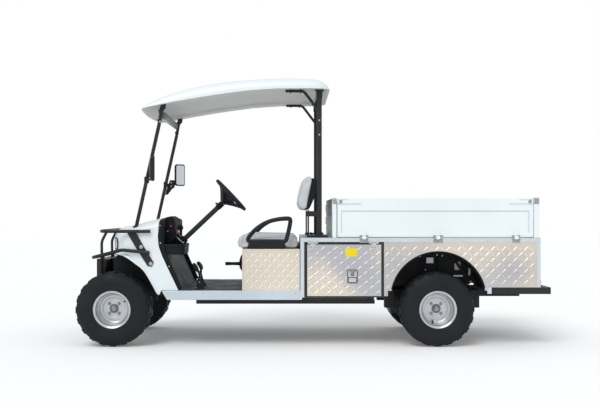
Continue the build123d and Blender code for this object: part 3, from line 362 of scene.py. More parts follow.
rim_silver = finish(
    "rim_silver", WHEEL_SILVER, rough=0.34, mottle=0.05, patch=0.05, grain=0.12, grain_size=0.001,
    metallic=0.75, coat=0.25
)
nut_steel = finish(
    "nut_steel", (0.33, 0.33, 0.34), rough=0.35, mottle=0.2, patch=0.02, grain=0.2, grain_size=0.001,
    metallic=0.9
)
hub_black = finish(
    "hub_black", (0.20, 0.215, 0.23), rough=0.5, mottle=0.3, patch=0.03, grain=0.3, grain_size=0.001,
    dust=0.06, metallic=0.5
)
for axle, wheel_x in WHEEL_X.items():
    for hand, side in (("left", 1), ("right", -1)):
        node = f"rim_{axle}_{hand}"
        body = f"wheel_{axle}_{hand}"
        middle = (wheel_x, side * WHEEL_Y, WHEEL_Z)
        rim = bmesh.new()
        add_lathe(rim, RIM_SKIN + RIM_BACK, middle, steps=96, way=side, closed=True)
        mount(f"{node}_pressing", rim, rim_silver, body, [node], smooth=50)
        hub = bmesh.new()
        add_lathe(hub, HUB_BARREL, middle, steps=48, finish_index=1, way=side)
        add_lathe(hub, HUB_CAP, middle, steps=48, way=side)
        for number in range(4):
            first = len(hub.verts)
            seat = (wheel_x, side * WHEEL_Y, WHEEL_Z + NUT_CIRCLE)
            add_lathe(hub, NUT_COLLAR, seat, steps=24, way=side)
            add_lathe(hub, NUT_FLATS, seat, steps=6, way=side)
            spun(hub, first, radians(45 + 90 * number), middle)
        mount(f"{node}_hub", hub, [nut_steel, hub_black], body, smooth=30)
        valve = bmesh.new()
        stem = (wheel_x, side * (WHEEL_Y + VALVE_DEPTH), WHEEL_Z + VALVE_RADIUS)
        add_lathe(valve, VALVE, stem, steps=20, way=side)
        lean = Matrix.Rotation(side * radians(VALVE_LEAN), 3, "X")
        bmesh.ops.rotate(valve, cent=stem, matrix=lean, verts=valve.verts)
        spun(valve, 0, VALVE_TURN[axle], middle)
        mount(f"{node}_valve", valve, tyre_rubber, body)

# ---------------------------------------------------------------- cab floor and sills
# The floor is a steel pan under a black rubber mat, whose ribs run across the cart and climb the toe board.
# A satin aluminium sill closes each side, with its front end cut on a slant and held by countersunk screws.
MAT_DARK = (0.040, 0.044, 0.053)
FLOOR_RIB = ((0, 411.5), (2, 414), (7, 414), (9, 411.5))
TOE_START = Vector((1012, 412))
TOE_END = Vector((1144, 702))
MAT_HALF = 563
TOE_RIBS = 19
SILL_BLUE = (0.62, 0.71, 0.765)
SILL_FACE = 606
SILL_SCREW = ((-0.5, 5.5), (0.8, 5.2), (1.4, 3.6), (1.0, 2.2), (0.2, 2.0), (0.2, 0))
SILL_TONGUE = ((1131, 421), (1143, 381), (1157, 388), (1166, 404), (1160, 436), (1140, 446))


def add_box(shape, x, y, z, finish_index=0):
    """A box between two values on each axis."""
    made = bmesh.ops.create_cube(shape, size=1.0)["verts"]
    for vertex in made:
        vertex.co = Vector((x[vertex.co.x > 0], y[vertex.co.y > 0], z[vertex.co.z > 0]))
    faces = {face for vertex in made for face in vertex.link_faces}
    for face in faces:
        face.material_index = finish_index


def add_prism(shape, outline, axis, low, high, finish_index=0):
    """Extrudes an outline along an axis: points are (x, z) along Y, (y, z) along X or (x, y) along Z."""
    places = {"X": lambda a, b, t: (t, a, b), "Y": lambda a, b, t: (a, t, b), "Z": lambda a, b, t: (a, b, t)}
    place = places[axis]
    near = [shape.verts.new(place(a, b, low)) for a, b in outline]
    far = [shape.verts.new(place(a, b, high)) for a, b in outline]
    faces = [shape.faces.new(near[::-1]), shape.faces.new(far)]
    for i in range(len(outline)):
        j = (i + 1) % len(outline)
        faces.append(shape.faces.new((near[i], near[j], far[j], far[i])))
    bmesh.ops.recalc_face_normals(shape, faces=faces)
    for face in faces:
        face.material_index = finish_index


floor_mat = finish(
    "floor_mat", MAT_DARK, rough=0.62, mottle=0.2, patch=0.15, grain=0.5, grain_size=0.0015, dust=0.08,
    specular=0.25
)
# Painted shade: the mat on the toe board is the same rubber as the floor's, coloured several times darker,
# and without reflection, for the shade under the dash.
toe_mat_painted_shade = finish(
    "toe_mat_painted_shade", (0.008, 0.010, 0.014), rough=0.8, mottle=0.2, grain=0.4, grain_size=0.0015, dust=0.02,
    specular=0.0
)
dress(floor_mat, 2.0, "floor_pan")
ribs = bmesh.new()
for rib_x in range(560, 967, 29):
    add_prism(ribs, [(rib_x + x, z) for x, z in FLOOR_RIB], "Y", -570, 570, 1)
toe_length = (TOE_END - TOE_START).length
along = (TOE_END - TOE_START).normalized()
out = Vector((-along.y, along.x))
sheet = (TOE_START + out * 0.3, TOE_END + out * 0.3, TOE_END + out * 2.2, TOE_START + out * 2.2)
add_prism(ribs, sheet, "Y", -MAT_HALF, MAT_HALF)
upstand = (sheet[0], sheet[1], TOE_END + out * 26, TOE_START + out * 26)
for low, high in ((-MAT_HALF, 2.5 - MAT_HALF), (MAT_HALF - 2.5, MAT_HALF)):
    add_prism(ribs, upstand, "Y", low, high)
for number in range(TOE_RIBS):
    foot = TOE_START + along * (16 + number * (toe_length - 30) / TOE_RIBS)
    tip = foot + out * 5.0
    half = along * 4
    outline = (foot - half, tip - half * 0.4, tip + half * 0.4, foot + half)
    add_prism(ribs, outline, "Y", -560, 560)
mount("mat_ribs", ribs, [toe_mat_painted_shade, floor_mat], "cart", smooth=30)

sill_metal = finish(
    "sill_metal", SILL_BLUE, rough=0.42, mottle=0.06, patch=0.4, grain_size=0.0012, dust=0.05,
    metallic=0.55, coat=0.1
)
dress(sill_metal, 2.5, "sills")
screws = bmesh.new()
for side in (1, -1):
    for screw_x in (1080, 820, 560, 300, 130):
        add_lathe(screws, SILL_SCREW, (screw_x, side * SILL_FACE, 402), steps=20, way=side)
    # The tongues at the sills' front ends take the toe board's dark rubber, painted shade included.
    add_prism(screws, SILL_TONGUE, "Y", side * 560, side * 574, 1)
steel_bright = finish(
    "steel_bright", (0.55, 0.56, 0.57), rough=0.3, mottle=0.15, patch=0.02, grain=0.2, grain_size=0.0008,
    metallic=1.0
)
finishes = [steel_bright, toe_mat_painted_shade]
mount("sill_screws", screws, finishes, "cart", smooth=30, edge=0.6, segments=1)

# ---------------------------------------------------------------- cowl
# The front body is one moulding of white plastic, from the doors over both wheels to the nose. Its wheel
# openings end in a rolled flare, a crease runs back from each lamp, and it is bolted to the frame and the
# dash.
BODY_WHITE = (0.82, 0.88, 0.90)
DOOR_LINE = 1159
BEND_LINE = 1380
NOSE_SPINE = 1480
# The cowl's outline from above, from the door forward and round the nose to the middle, as (x, y).
COWL_PLAN = (
    (1000, 575), (1159, 575), (1300, 573), (1380, 566), (1430, 546), (1462, 518), (1488, 472), (1508, 415),
    (1530, 330), (1551, 230), (1567, 110), (1573, 0),
)
# The skin's lower edge, from the door forward round the wheel opening to the nose, as (x, z).
COWL_EDGE = (
    (1006, 421), (1040, 421), (1085, 421), (1131, 421), (1143, 396), (1157, 388), (1181, 431), (1205, 474),
    (1230, 518), (1255, 557), (1288, 591), (1322, 616), (1370, 651), (1419, 676), (1450, 684), (1476, 686),
    (1500, 685),
)
COWL_BACK = ((0.0, 0.0), (0.31, 0.53), (0.48, 0.81), (0.61, 0.97), (0.74, 1.01), (0.88, 0.96), (1.0, 1.0))
SPINE_HEIGHT = ((1159, 966), (1300, 933), (1380, 912), (1440, 893), (1480, 878))
SHOULDER_HEIGHT = ((1159, 884), (1380, 828), (1450, 800), (1500, 778))
SIDE_COLUMNS = 60
NOSE_COLUMNS = 26
SIDE_ROWS = 26
TOP_ROWS = 20
FLARE = 15
FLARE_BAND = 46
TUCK = 5
CROWN_ROUNDNESS = 3.4
CREASE_HEIGHT = ((1159, 836), (1300, 829), (1480, 816), (1548, 806))
NOSE_LOW = 650
NOSE_FACE = 712


def between(rows, value):
    """Reads a table of rows (value, result, ...) at a value, with straight lines between its rows."""
    for low, high in zip(rows, rows[1:]):
        if value <= high[0] or high is rows[-1]:
            share = min(max((value - low[0]) / (high[0] - low[0]), 0.0), 1.0)
            return low[1] + (high[1] - low[1]) * share


def eased(points, count):
    """Evenly spaced points on a smooth curve through the given ones."""
    dense = []
    for i in range(len(points) - 1):
        before = Vector(points[max(i - 1, 0)])
        start = Vector(points[i])
        end = Vector(points[i + 1])
        after = Vector(points[min(i + 2, len(points) - 1)])
        for step in range(16):
            t = step / 16
            leave = (end - before) * 0.5 * (t ** 3 - 2 * t ** 2 + t)
            push = leave + (after - start) * 0.5 * (t ** 3 - t ** 2)
            dense.append(start * (2 * t ** 3 - 3 * t ** 2 + 1) + end * (3 * t ** 2 - 2 * t ** 3) + push)
    dense.append(Vector(points[-1]))
    lengths = [0.0]
    for a, b in zip(dense, dense[1:]):
        lengths.append(lengths[-1] + (b - a).length)
    result = []
    j = 0
    for step in range(count):
        goal = lengths[-1] * step / (count - 1)
        while j < len(dense) - 2 and lengths[j + 1] < goal:
            j += 1
        gap = lengths[j + 1] - lengths[j]
        result.append(dense[j].lerp(dense[j + 1], (goal - lengths[j]) / gap if gap else 0))
    return result


def ramp(value, low, high):
    """Rises smoothly from 0 at the low value to 1 at the high one."""
    t = min(max((value - low) / (high - low), 0.0), 1.0)
    return t * t * (3 - 2 * t)


plan_curve = [tuple(point) for point in eased(COWL_PLAN, 160)]
corner_x = COWL_EDGE[-1][0]
nose_curve = eased([p for p in plan_curve if p[0] > corner_x], NOSE_COLUMNS)


def over_the_top(start, end, roundness):
    """A rib over the crown, from where the side ends to the middle of the cowl."""
    rib = []
    for row in range(1, TOP_ROWS + 1):
        turn = pi / 2 * row / TOP_ROWS
        inward = 1 - abs(cos(turn)) ** (2 / roundness)
        rise = sin(turn) ** (2 / roundness)
        rib.append(Vector((
            start.x + (end.x - start.x) * inward,
            start.y + (end.y - start.y) * inward,
            start.z + (end.z - start.z) * rise,
        )))
    return rib


columns = []
for i, edge in enumerate(eased(COWL_EDGE, SIDE_COLUMNS)):
    share = i / (SIDE_COLUMNS - 1)
    top_x = DOOR_LINE + (corner_x - DOOR_LINE) * share ** 1.05
    top_z = between(SHOULDER_HEIGHT, top_x)
    spine_x = min(top_x, BEND_LINE) + max(0, top_x - BEND_LINE) * 0.35
    spine_z = between(SPINE_HEIGHT, spine_x)
    column = []
    for row in range(SIDE_ROWS + 1):
        height = edge.y + (top_z - edge.y) * row / SIDE_ROWS
        whole = (height - edge.y) / (spine_z - edge.y)
        straight = edge.x + (top_x - edge.x) * min(1.0, whole * 1.08)
        curved = edge.x + (top_x - edge.x) * between(COWL_BACK, whole)
        x = straight + (curved - straight) * max(0.0, 1 - share * 3)
        gap = (Vector((x, height)) - edge).length
        lip = ramp(FLARE_BAND - gap, 0, FLARE_BAND) * ramp(edge.x, 1136, 1180) * ramp(1540 - edge.x, 0, 90)
        tuck = TUCK * ramp(height - between(CREASE_HEIGHT, x), -6, 8) * ramp(x, 1170, 1290)
        column.append(Vector((x, between(plan_curve, x) + FLARE * lip - tuck, height)))
    column += over_the_top(column[-1], Vector((spine_x, 0, spine_z)), CROWN_ROUNDNESS)
    columns.append(column)
corner_spine = spine_x
for i, place in enumerate(nose_curve[1:]):
    share = (i + 1) / (NOSE_COLUMNS - 1)
    low = COWL_EDGE[-1][1] + (NOSE_LOW - COWL_EDGE[-1][1]) * share
    high = SHOULDER_HEIGHT[-1][1] + (NOSE_FACE - SHOULDER_HEIGHT[-1][1]) * ramp(share, 0, 1)
    spine_x = corner_spine + (NOSE_SPINE - corner_spine) * share
    column = []
    for row in range(SIDE_ROWS + 1):
        height = low + (high - low) * row / SIDE_ROWS
        column.append(Vector((place.x + 6 * (row / SIDE_ROWS - 1) * share, place.y, height)))
    end = Vector((spine_x, 0, between(SPINE_HEIGHT, spine_x)))
    column += over_the_top(column[-1], end, CROWN_ROUNDNESS - 1.1 * share)
    columns.append(column)

cowl_shape = bmesh.new()
for side in (1, -1):
    grid = [[cowl_shape.verts.new((p.x, side * p.y, p.z)) for p in column] for column in columns]
    for a, b in zip(grid, grid[1:]):
        for row in range(len(a) - 1):
            cowl_shape.faces.new((a[row], b[row], b[row + 1], a[row + 1]))
bmesh.ops.remove_doubles(cowl_shape, verts=cowl_shape.verts, dist=0.2)
bmesh.ops.recalc_face_normals(cowl_shape, faces=cowl_shape.faces)
body_white = finish(
    "body_white", BODY_WHITE, rough=0.28, mottle=0.02, patch=0.5, grain=0.06, grain_size=0.02, coat=0.6,
    shader={"Coat Roughness": 0.12}
)
cowl_skin = mount("cowl_moulding", cowl_shape, body_white, "cart", ["cowl"], smooth=60)
skin = cowl_skin.modifiers.new("skin", "SOLIDIFY")
skin.thickness = 0.005
skin.offset = -1
soften(cowl_skin, 1.8)

# ---------------------------------------------------------------- headlights
# A headlight is a clear polycarbonate lens over a bright reflector, in a black bezel that is screwed into
# the cowl's corner. All three follow the moulding's curve.
LAMP_MIDDLE = (468, 769)
LAMP_REACH = (60, 43)
LAMP_SPOKES = 48
# The lamp's parts from their rims to their middles, as a share of its outline and the lift off the skin.
BEZEL = ((1.10, -4), (1.10, 3), (1.07, 6.5), (1.01, 7), (0.97, 5), (0.955, 1), (0.95, -4))
BOWL = ((0.96, 1), (0.9, -2), (0.7, -9), (0.4, -13))
BULB = ((0.4, -13), (0.3, -4), (0.16, 0), (0.02, 1))
LENS = (
    (0.965, 3), (0.93, 6), (0.8, 8), (0.6, 9.5), (0.4, 10.5), (0.2, 11), (0.02, 11.2), (0.02, 8.7),
    (0.3, 8.3), (0.6, 7.1), (0.8, 5.6), (0.93, 3.6), (0.955, 1.5),
)


def on_skin(y, z):
    """The point of the cowl's corner at a distance from the middle and a height."""
    for a, b in zip(columns, columns[1:]):
        if b[0].y <= y <= a[0].y and a[0].x > 1400:
            share = (a[0].y - y) / (a[0].y - b[0].y)
            column = [p.lerp(q, share) for p, q in zip(a, b)]
            for low, high in zip(column, column[1:]):
                if low.z <= z <= high.z:
                    return low.lerp(high, (z - low.z) / (high.z - low.z))
    return Vector((1500, y, z))


def lamp_ring(shape, side, size, lift):
    """A ring of points on a lamp's rounded outline, scaled by size and lifted off the skin."""
    ring = []
    for spoke in range(LAMP_SPOKES):
        angle = 2 * pi * spoke / LAMP_SPOKES
        wide = abs(cos(angle)) ** 0.55 * (1 if cos(angle) > 0 else -1)
        tall = abs(sin(angle)) ** 0.55 * (1 if sin(angle) > 0 else -1)
        y = LAMP_MIDDLE[0] + LAMP_REACH[0] * size * wide
        z = LAMP_MIDDLE[1] + LAMP_REACH[1] * size * tall
        spot = on_skin(y, z)
        flow = on_skin(y - 4, z) - on_skin(y + 4, z)
        rise = on_skin(y, z + 4) - on_skin(y, z - 4)
        out = rise.cross(flow).normalized()
        spot = spot + out * (lift if out.x > 0 else -lift)
        ring.append(shape.verts.new((spot.x, side * spot.y, spot.z)))
    return ring


def join_rings(shape, rings, finish_index=0, closed=False, capped=False):
    """Skins over a run of rings: closed joins the last one to the first, and capped fills both ends."""
    faces = []
    for a, b in zip(rings, rings[1:] + ([rings[0]] if closed else [])):
        for i in range(len(a)):
            j = (i + 1) % len(a)
            faces.append(shape.faces.new((a[i], a[j], b[j], b[i])))
    if capped:
        faces += [shape.faces.new(rings[0][::-1]), shape.faces.new(rings[-1])]
    for face in faces:
        face.material_index = finish_index


def sealed(shape):
    """Turns every face of a shape outward."""
    bmesh.ops.recalc_face_normals(shape, faces=shape.faces)


bezels = bmesh.new()
lenses = bmesh.new()
for side in (1, -1):
    for shape, rows, finish_index, closed in (
        (bezels, BEZEL, 0, True), (bezels, BOWL, 1, False), (bezels, BULB, 1, False), (lenses, LENS, 0, True)
    ):
        rings = [lamp_ring(shape, side, size, lift) for size, lift in rows]
        join_rings(shape, rings, finish_index, closed)
sealed(bezels)
sealed(lenses)
trim_black = finish(
    "trim_black", (0.011, 0.012, 0.015), rough=0.38, mottle=0.15, patch=0.1, grain=0.3, grain_size=0.0012,
    dust=0.04, specular=0.25
)
lamp_silver = finish(
    "lamp_silver", (0.80, 0.81, 0.82), rough=0.16, mottle=0.08, patch=0.03, grain=0.25, grain_size=0.004,
    metallic=1.0
)
clear_lens = finish(
    "clear_lens", (0.93, 0.95, 0.96), rough=0.04, mottle=0.04, patch=0.05, grain=0.1, grain_size=0.004,
    shader={"Transmission Weight": 0.92, "IOR": 1.46}
)
mount("headlight_bezels", bezels, [trim_black, lamp_silver], "cart", ["headlights"], smooth=40)
mount("headlight_lenses", lenses, clear_lens, "cart", smooth=50)

# ---------------------------------------------------------------- bumper and brush guard
# The guard is bent steel tube with plugged ends, welded to two laser-cut plates that bolt through the
# fenders. Its uprights stand on a folded steel bumper, which two posts carry off the rails.
GUARD_Y = 593
GUARD_ENDS = ((1219, 863), (1225, 704))
TUBE_PLUG = ((2, 12.0), (0.5, 14.2), (-3.5, 14.4), (-5.5, 12.6), (-6.2, 9.0))
PLATE_BOLTS = ((1283, 746), (1212, 621))
BUMPER_RIB = ((1689.5, -9), (1693, -6), (1693, 6), (1689.5, 9))
BOLT_WASHER = ((0, 1.5), (1.4, 1.5), (1.6, 1.3))
BOLT_HEAD = ((1.6, 1.0), (2.6, 1.0), (3.0, 0.86), (6.4, 0.84), (7.2, 0.7), (7.4, 0.4))
OUTWARD = {1: "+y", -1: "-y"}


def add_bolt(shape, place, facing, radius=8.0, finish_index=0):
    """A flanged bolt head on a washer, facing along an axis with its sign."""
    axis = "XYZ"["xyz".index(facing[1])]
    way = 1 if facing[0] == "+" else -1
    for rows, steps in ((BOLT_WASHER, 20), (BOLT_HEAD, 6)):
        profile = [(a, radius * r) for a, r in rows]
        add_lathe(shape, profile, place, axis, steps, finish_index, way)


guard_black = finish(
    "guard_black", (0.013, 0.015, 0.019), rough=0.33, mottle=0.15, patch=0.15, grain=0.2, grain_size=0.0012,
    dust=0.05, specular=0.28
)
dress(guard_black, 1.2, "brush_guard", "front_bumper")
guard_fittings = bmesh.new()
for side in (1, -1):
    for bolt_x, bolt_z in PLATE_BOLTS:
        add_bolt(guard_fittings, (bolt_x, side * 582, bolt_z), OUTWARD[side], 9.0)
    for end_x, end_z in GUARD_ENDS:
        add_lathe(guard_fittings, TUBE_PLUG, (end_x, side * GUARD_Y, end_z), "X", 24, finish_index=1)
    for bolt_z in (475, 560):
        add_bolt(guard_fittings, (1690, side * 198, bolt_z), "+x")
    for bolt_x in (1615, 1668):
        add_bolt(guard_fittings, (bolt_x, side * 226, 640), "+z", 7.0)
for rib_z in (500, 585):
    add_prism(guard_fittings, [(x, rib_z + z) for x, z in BUMPER_RIB], "Y", -165, 165, 1)
finishes = [steel_bright, trim_black]
mount("guard_fittings", guard_fittings, finishes, "cart", smooth=35, edge=0.5, segments=1)

# ---------------------------------------------------------------- dash
# The dash is injection-moulded black plastic clipped round the cowl's rear edge: a rolled edge band, a
# hooded pod with the key and switches, a column shroud and an open tray with a rolled lip.
BAND_PATH = (
    (1000, 566, 421), (1041, 567, 512), (1081, 567, 600), (1124, 567, 700), (1146, 567, 774),
    (1151, 567, 838), (1149, 563, 884), (1147, 548, 918), (1146, 520, 938), (1145, 470, 946),
    (1145, 330, 949), (1145, 165, 950), (1145, 0, 950.5),
)
BAND_SECTION = ((-8, -2), (-8, 20), (-5, 25), (0, 27), (5, 25), (8, 20), (8, -2))
TRAY_X = (970, 1124)
TRAY_Y = (190, 560)
TRAY_CORNER = 46
TRAY_SHELL = (
    (16, 686.5), (8, 687.5), (2, 692), (-1, 702), (-2.5, 722), (-3, 742), (-4.5, 744), (-7, 746), (-8, 750),
    (-7, 755), (-4, 756.5), (-3.5, 760), (-1, 765), (3, 766.5), (7, 765), (8, 760), (8.5, 720), (10, 702),
    (16, 696), (24, 694.5),
)


def add_sweep(shape, path, section, toward, count=60, finish_index=0, mirrored=False):
    """Carries a closed section along a smooth path; its second axis leans toward the given direction."""
    spine = eased(path, count)
    if mirrored:
        spine = spine + [Vector((p.x, -p.y, p.z)) for p in reversed(spine[:-1])]
    rings = []
    for i, spot in enumerate(spine):
        run = (spine[min(i + 1, len(spine) - 1)] - spine[max(i - 1, 0)]).normalized()
        lean = Vector(toward) - run * run.dot(Vector(toward))
        lean.normalize()
        wide = run.cross(lean)
        rings.append([shape.verts.new(spot + wide * a + lean * b) for a, b in section])
    join_rings(shape, rings, finish_index, capped=True)


def rounded_loop(low_x, high_x, low_y, high_y, radii, steps=8):
    """A rectangle's outline with a radius for each corner, from the low corner round by the high x."""
    corners = (
        (low_x, low_y, 1, 1, 180), (high_x, low_y, -1, 1, 270),
        (high_x, high_y, -1, -1, 0), (low_x, high_y, 1, -1, 90),
    )
    loop = []
    for (x, y, way_x, way_y, start), radius in zip(corners, radii):
        for step in range(steps + 1):
            angle = radians(start + 90 * step / steps)
            loop.append((x + way_x * radius + radius * cos(angle), y + way_y * radius + radius * sin(angle)))
    return loop


def circle(radius, points=12):
    """A round section."""
    return [(radius * cos(2 * pi * i / points), radius * sin(2 * pi * i / points)) for i in range(points)]


dash_plastic = finish(
    "dash_plastic", (0.0075, 0.009, 0.013), rough=0.58, mottle=0.14, patch=0.14, grain=0.55,
    grain_size=0.0011, dust=0.02, specular=0.12
)
dress(dash_plastic, 4.0, "dashboard")
band = bmesh.new()
add_sweep(band, BAND_PATH, BAND_SECTION, (-1, 0, 0), 70, mirrored=True)
rings = []
for inset, height in TRAY_SHELL:
    radii = (TRAY_CORNER - inset, 6, 6, TRAY_CORNER - inset)
    loop = rounded_loop(TRAY_X[0] + inset, TRAY_X[1] + 1, TRAY_Y[0] + inset, TRAY_Y[1] - inset, radii)
    rings.append([band.verts.new((x, y, height)) for x, y in loop])
join_rings(band, rings)
sealed(band)
mount("dash_trim", band, dash_plastic, "cart", smooth=40)
# The key, switch and sockets are turned: each has its profile, place, axis, steps, finish and way.
DASH_TURNED = (
    (((-3, 17), (3, 17), (6, 15), (7, 12), (5.5, 11)), (1054, 300, 856), "X", 28, 1, -1),
    (((5.5, 10), (12, 9.5), (14, 8)), (1054, 300, 856), "X", 24, 1, -1),
    (((0, 5), (6, 5)), (1030, 300, 856), "X", 16, 0, -1),
    (((-1, 12), (3, 12), (4.5, 10.5), (4.5, 9)), (1086, 400, 899), "Y", 28, 0, 1),
    (((2, 9), (7, 8.6), (8.5, 7), (8.8, 3)), (1086, 400, 899), "Y", 24, 2, 1),
    (((-1, 7), (2, 7), (2.6, 5.5)), (1112, 400, 862), "Y", 20, 1, 1),
)
KNOB = ((-3, 1.25), (2, 1.25), (4, 1.1), (6, 0.95), (24, 0.86), (27, 0.78), (28, 0.6))
DASH_BOXES = (
    ((1030, 1045), (298.6, 301.4), (846, 866), 1), ((1020, 1046), (212, 218), (867, 901), 0),
    ((1020, 1046), (165, 171), (871, 897), 0), ((1046, 1054), (335, 355), (836, 870), 0),
    ((1043, 1050), (338, 352), (840, 866), 0), ((1046, 1054), (362, 382), (836, 870), 0),
    ((1043, 1050), (365, 379), (840, 866), 2),
)
# A bright steel stay from the pod's side down toward the tray stands where a highlight runs along the
# shroud's lower edge: a painted highlight made as a part.
DASH_HIGHLIGHT_STAY = ((1078, 842), (1084, 836), (1008, 764), (1002, 770))
BAND_SCREW = ((-1, 5.4), (1.6, 5.2), (2.6, 3.4), (2.4, 1.8))
controls = bmesh.new()
for profile, place, axis, steps, finish_index, way in DASH_TURNED:
    add_lathe(controls, profile, place, axis, steps, finish_index, way)
for knob_y, knob in ((215, 17), (168, 13)):
    add_lathe(controls, [(a, knob * r) for a, r in KNOB], (1054, knob_y, 884), "X", 24, way=-1)
for x, y, z, finish_index in DASH_BOXES:
    add_box(controls, x, y, z, finish_index)
add_prism(controls, DASH_HIGHLIGHT_STAY, "Y", 300, 304, 1)
for screw_x, screw_z in ((1140, 775), (1144, 905), (1075, 600)):
    add_lathe(controls, BAND_SCREW, (screw_x, 573, screw_z), "Y", 16, finish_index=1)
sealed(controls)
red_plastic = finish(
    "red_plastic", (0.42, 0.018, 0.02), rough=0.3, mottle=0.1, patch=0.05, grain=0.2, grain_size=0.001,
    dust=0.02
)
finishes = [dash_plastic, steel_bright, red_plastic]
mount("dash_controls", controls, finishes, "cart", smooth=30, edge=0.7)

# ---------------------------------------------------------------- steering
# The steering wheel is a steel ring and three dished spokes under black foam, on a hub with a centre pad.
# Its painted steel column runs down into the dash shroud and carries a short stalk.
WHEEL_HUB = Vector((634, 250, 1142))
COLUMN_TILT = radians(43.4)
RIM_RADIUS = 151.5
RIM_THICK = 13.2
GRIP_DENTS = 48
# Stations along a spoke, from the hub out: reach, depth, half width and thickness.
SPOKE_STATIONS = (
    (16, -58, 30, 32), (40, -49, 34, 24), (78, -33, 35, 14), (118, -16, 32, 8), (149, -3, 36, 7),
)
SPOKE_SECTION = ((-1, -0.4), (-0.8, 1), (0.8, 1), (1, -0.4), (0.7, -1), (-0.7, -1))
HUB_PAD = (
    (-92, 22.5), (-86, 25), (-72, 32), (-56, 45), (-42, 58), (-34, 62), (-24, 60), (-16, 52), (-12, 38),
    (-11, 20),
)
HUB_BADGE = ((-13, 19), (-9.6, 19), (-8.6, 17.5), (-8.4, 4))
COLUMN_TUBE = ((-523, 19.5), (-100, 19.5))
COLUMN_COLLAR = ((-150, 19), (-148, 22), (-142, 23), (-104, 23.5), (-96, 24), (-94, 20))
COLUMN_BOOT = ((-520, 30), (-500, 30), (-494, 27), (-490, 20.2))
STALK_PATH = ((716, 262, 1058), (728, 290, 1068), (738, 330, 1073), (744, 356, 1075))
COLUMN_AXIS = Vector((-cos(COLUMN_TILT), 0, sin(COLUMN_TILT)))
COLUMN_UP = Vector((sin(COLUMN_TILT), 0, cos(COLUMN_TILT)))


def on_wheel(across, up, along):
    """A place on the steering wheel: across the cart, up its dial and along its column."""
    return WHEEL_HUB + Vector((0, 1, 0)) * across + COLUMN_UP * up + COLUMN_AXIS * along


def turned_on_column(shape, profile, steps=36, finish_index=0):
    """Turns a profile of (distance along the column, radius) about the column."""
    spokes = [2 * pi * i / steps for i in range(steps)]
    rings = []
    for along_it, radius in profile:
        rings.append([shape.verts.new(on_wheel(radius * cos(t), radius * sin(t), along_it)) for t in spokes])
    join_rings(shape, rings, finish_index, capped=True)


wheel = bmesh.new()
rings = []
for step in range(96):
    angle = 2 * pi * step / 96
    ring = []
    for point in range(16):
        turn = 2 * pi * point / 16
        dent = 0.28 * (1 + cos(angle * GRIP_DENTS)) * (1 if cos(turn) < 0.2 else 0)
        thick = RIM_THICK - dent
        radius = RIM_RADIUS + thick * cos(turn)
        ring.append(wheel.verts.new(on_wheel(radius * cos(angle), radius * sin(angle), thick * sin(turn))))
    rings.append(ring)
join_rings(wheel, rings, closed=True)
for spoke_angle in (0.21 * pi, 0.79 * pi, 1.5 * pi):
    way = Vector((cos(spoke_angle), sin(spoke_angle)))
    cross = Vector((-way.y, way.x))
    rings = []
    for reach_out, depth, half, thick in SPOKE_STATIONS:
        ring = []
        for wide, rise in SPOKE_SECTION:
            place = way * reach_out + cross * (half * wide)
            ring.append(wheel.verts.new(on_wheel(place.x, place.y, depth + thick * rise)))
        rings.append(ring)
    join_rings(wheel, rings, capped=True)
turned_on_column(wheel, HUB_PAD, 48)
turned_on_column(wheel, HUB_BADGE, finish_index=1)
sealed(wheel)
wheel_foam = finish(
    "wheel_foam", (0.009, 0.010, 0.014), rough=0.5, mottle=0.2, patch=0.08, grain=0.6, grain_size=0.0009,
    dust=0.02, specular=0.25
)
mount(
    "steering_wheel_moulding", wheel, [wheel_foam, dash_plastic], "steering_wheel",
    ["steering_wheel"], smooth=34, edge=1.6
)
column_bits = bmesh.new()
turned_on_column(column_bits, COLUMN_TUBE, 40, 1)
turned_on_column(column_bits, COLUMN_COLLAR)
turned_on_column(column_bits, COLUMN_BOOT)
rings = []
for i, spot in enumerate(eased(STALK_PATH, 12)):
    swell = 4.2 if i < 7 else 4.2 + 3.8 * sin(pi * (i - 6) / 5.5)
    section = [spot + Vector((a, 0, b)) for a, b in circle(max(swell, 2))]
    rings.append([column_bits.verts.new(p) for p in section])
join_rings(column_bits, rings, capped=True)
sealed(column_bits)
finishes = [dash_plastic, guard_black]
mount(
    "steering_column_tube", column_bits, finishes, "cart", ["steering_column"], smooth=35
)

# ---------------------------------------------------------------- pedals
# Two bent steel pedals hang from a bracket that is bolted to the floor, with ribbed rubber pads pushed over
# them.
PEDAL_BASE = ((822, 411.6), (905, 411.6), (894, 470), (880, 520), (868, 520), (856, 470))
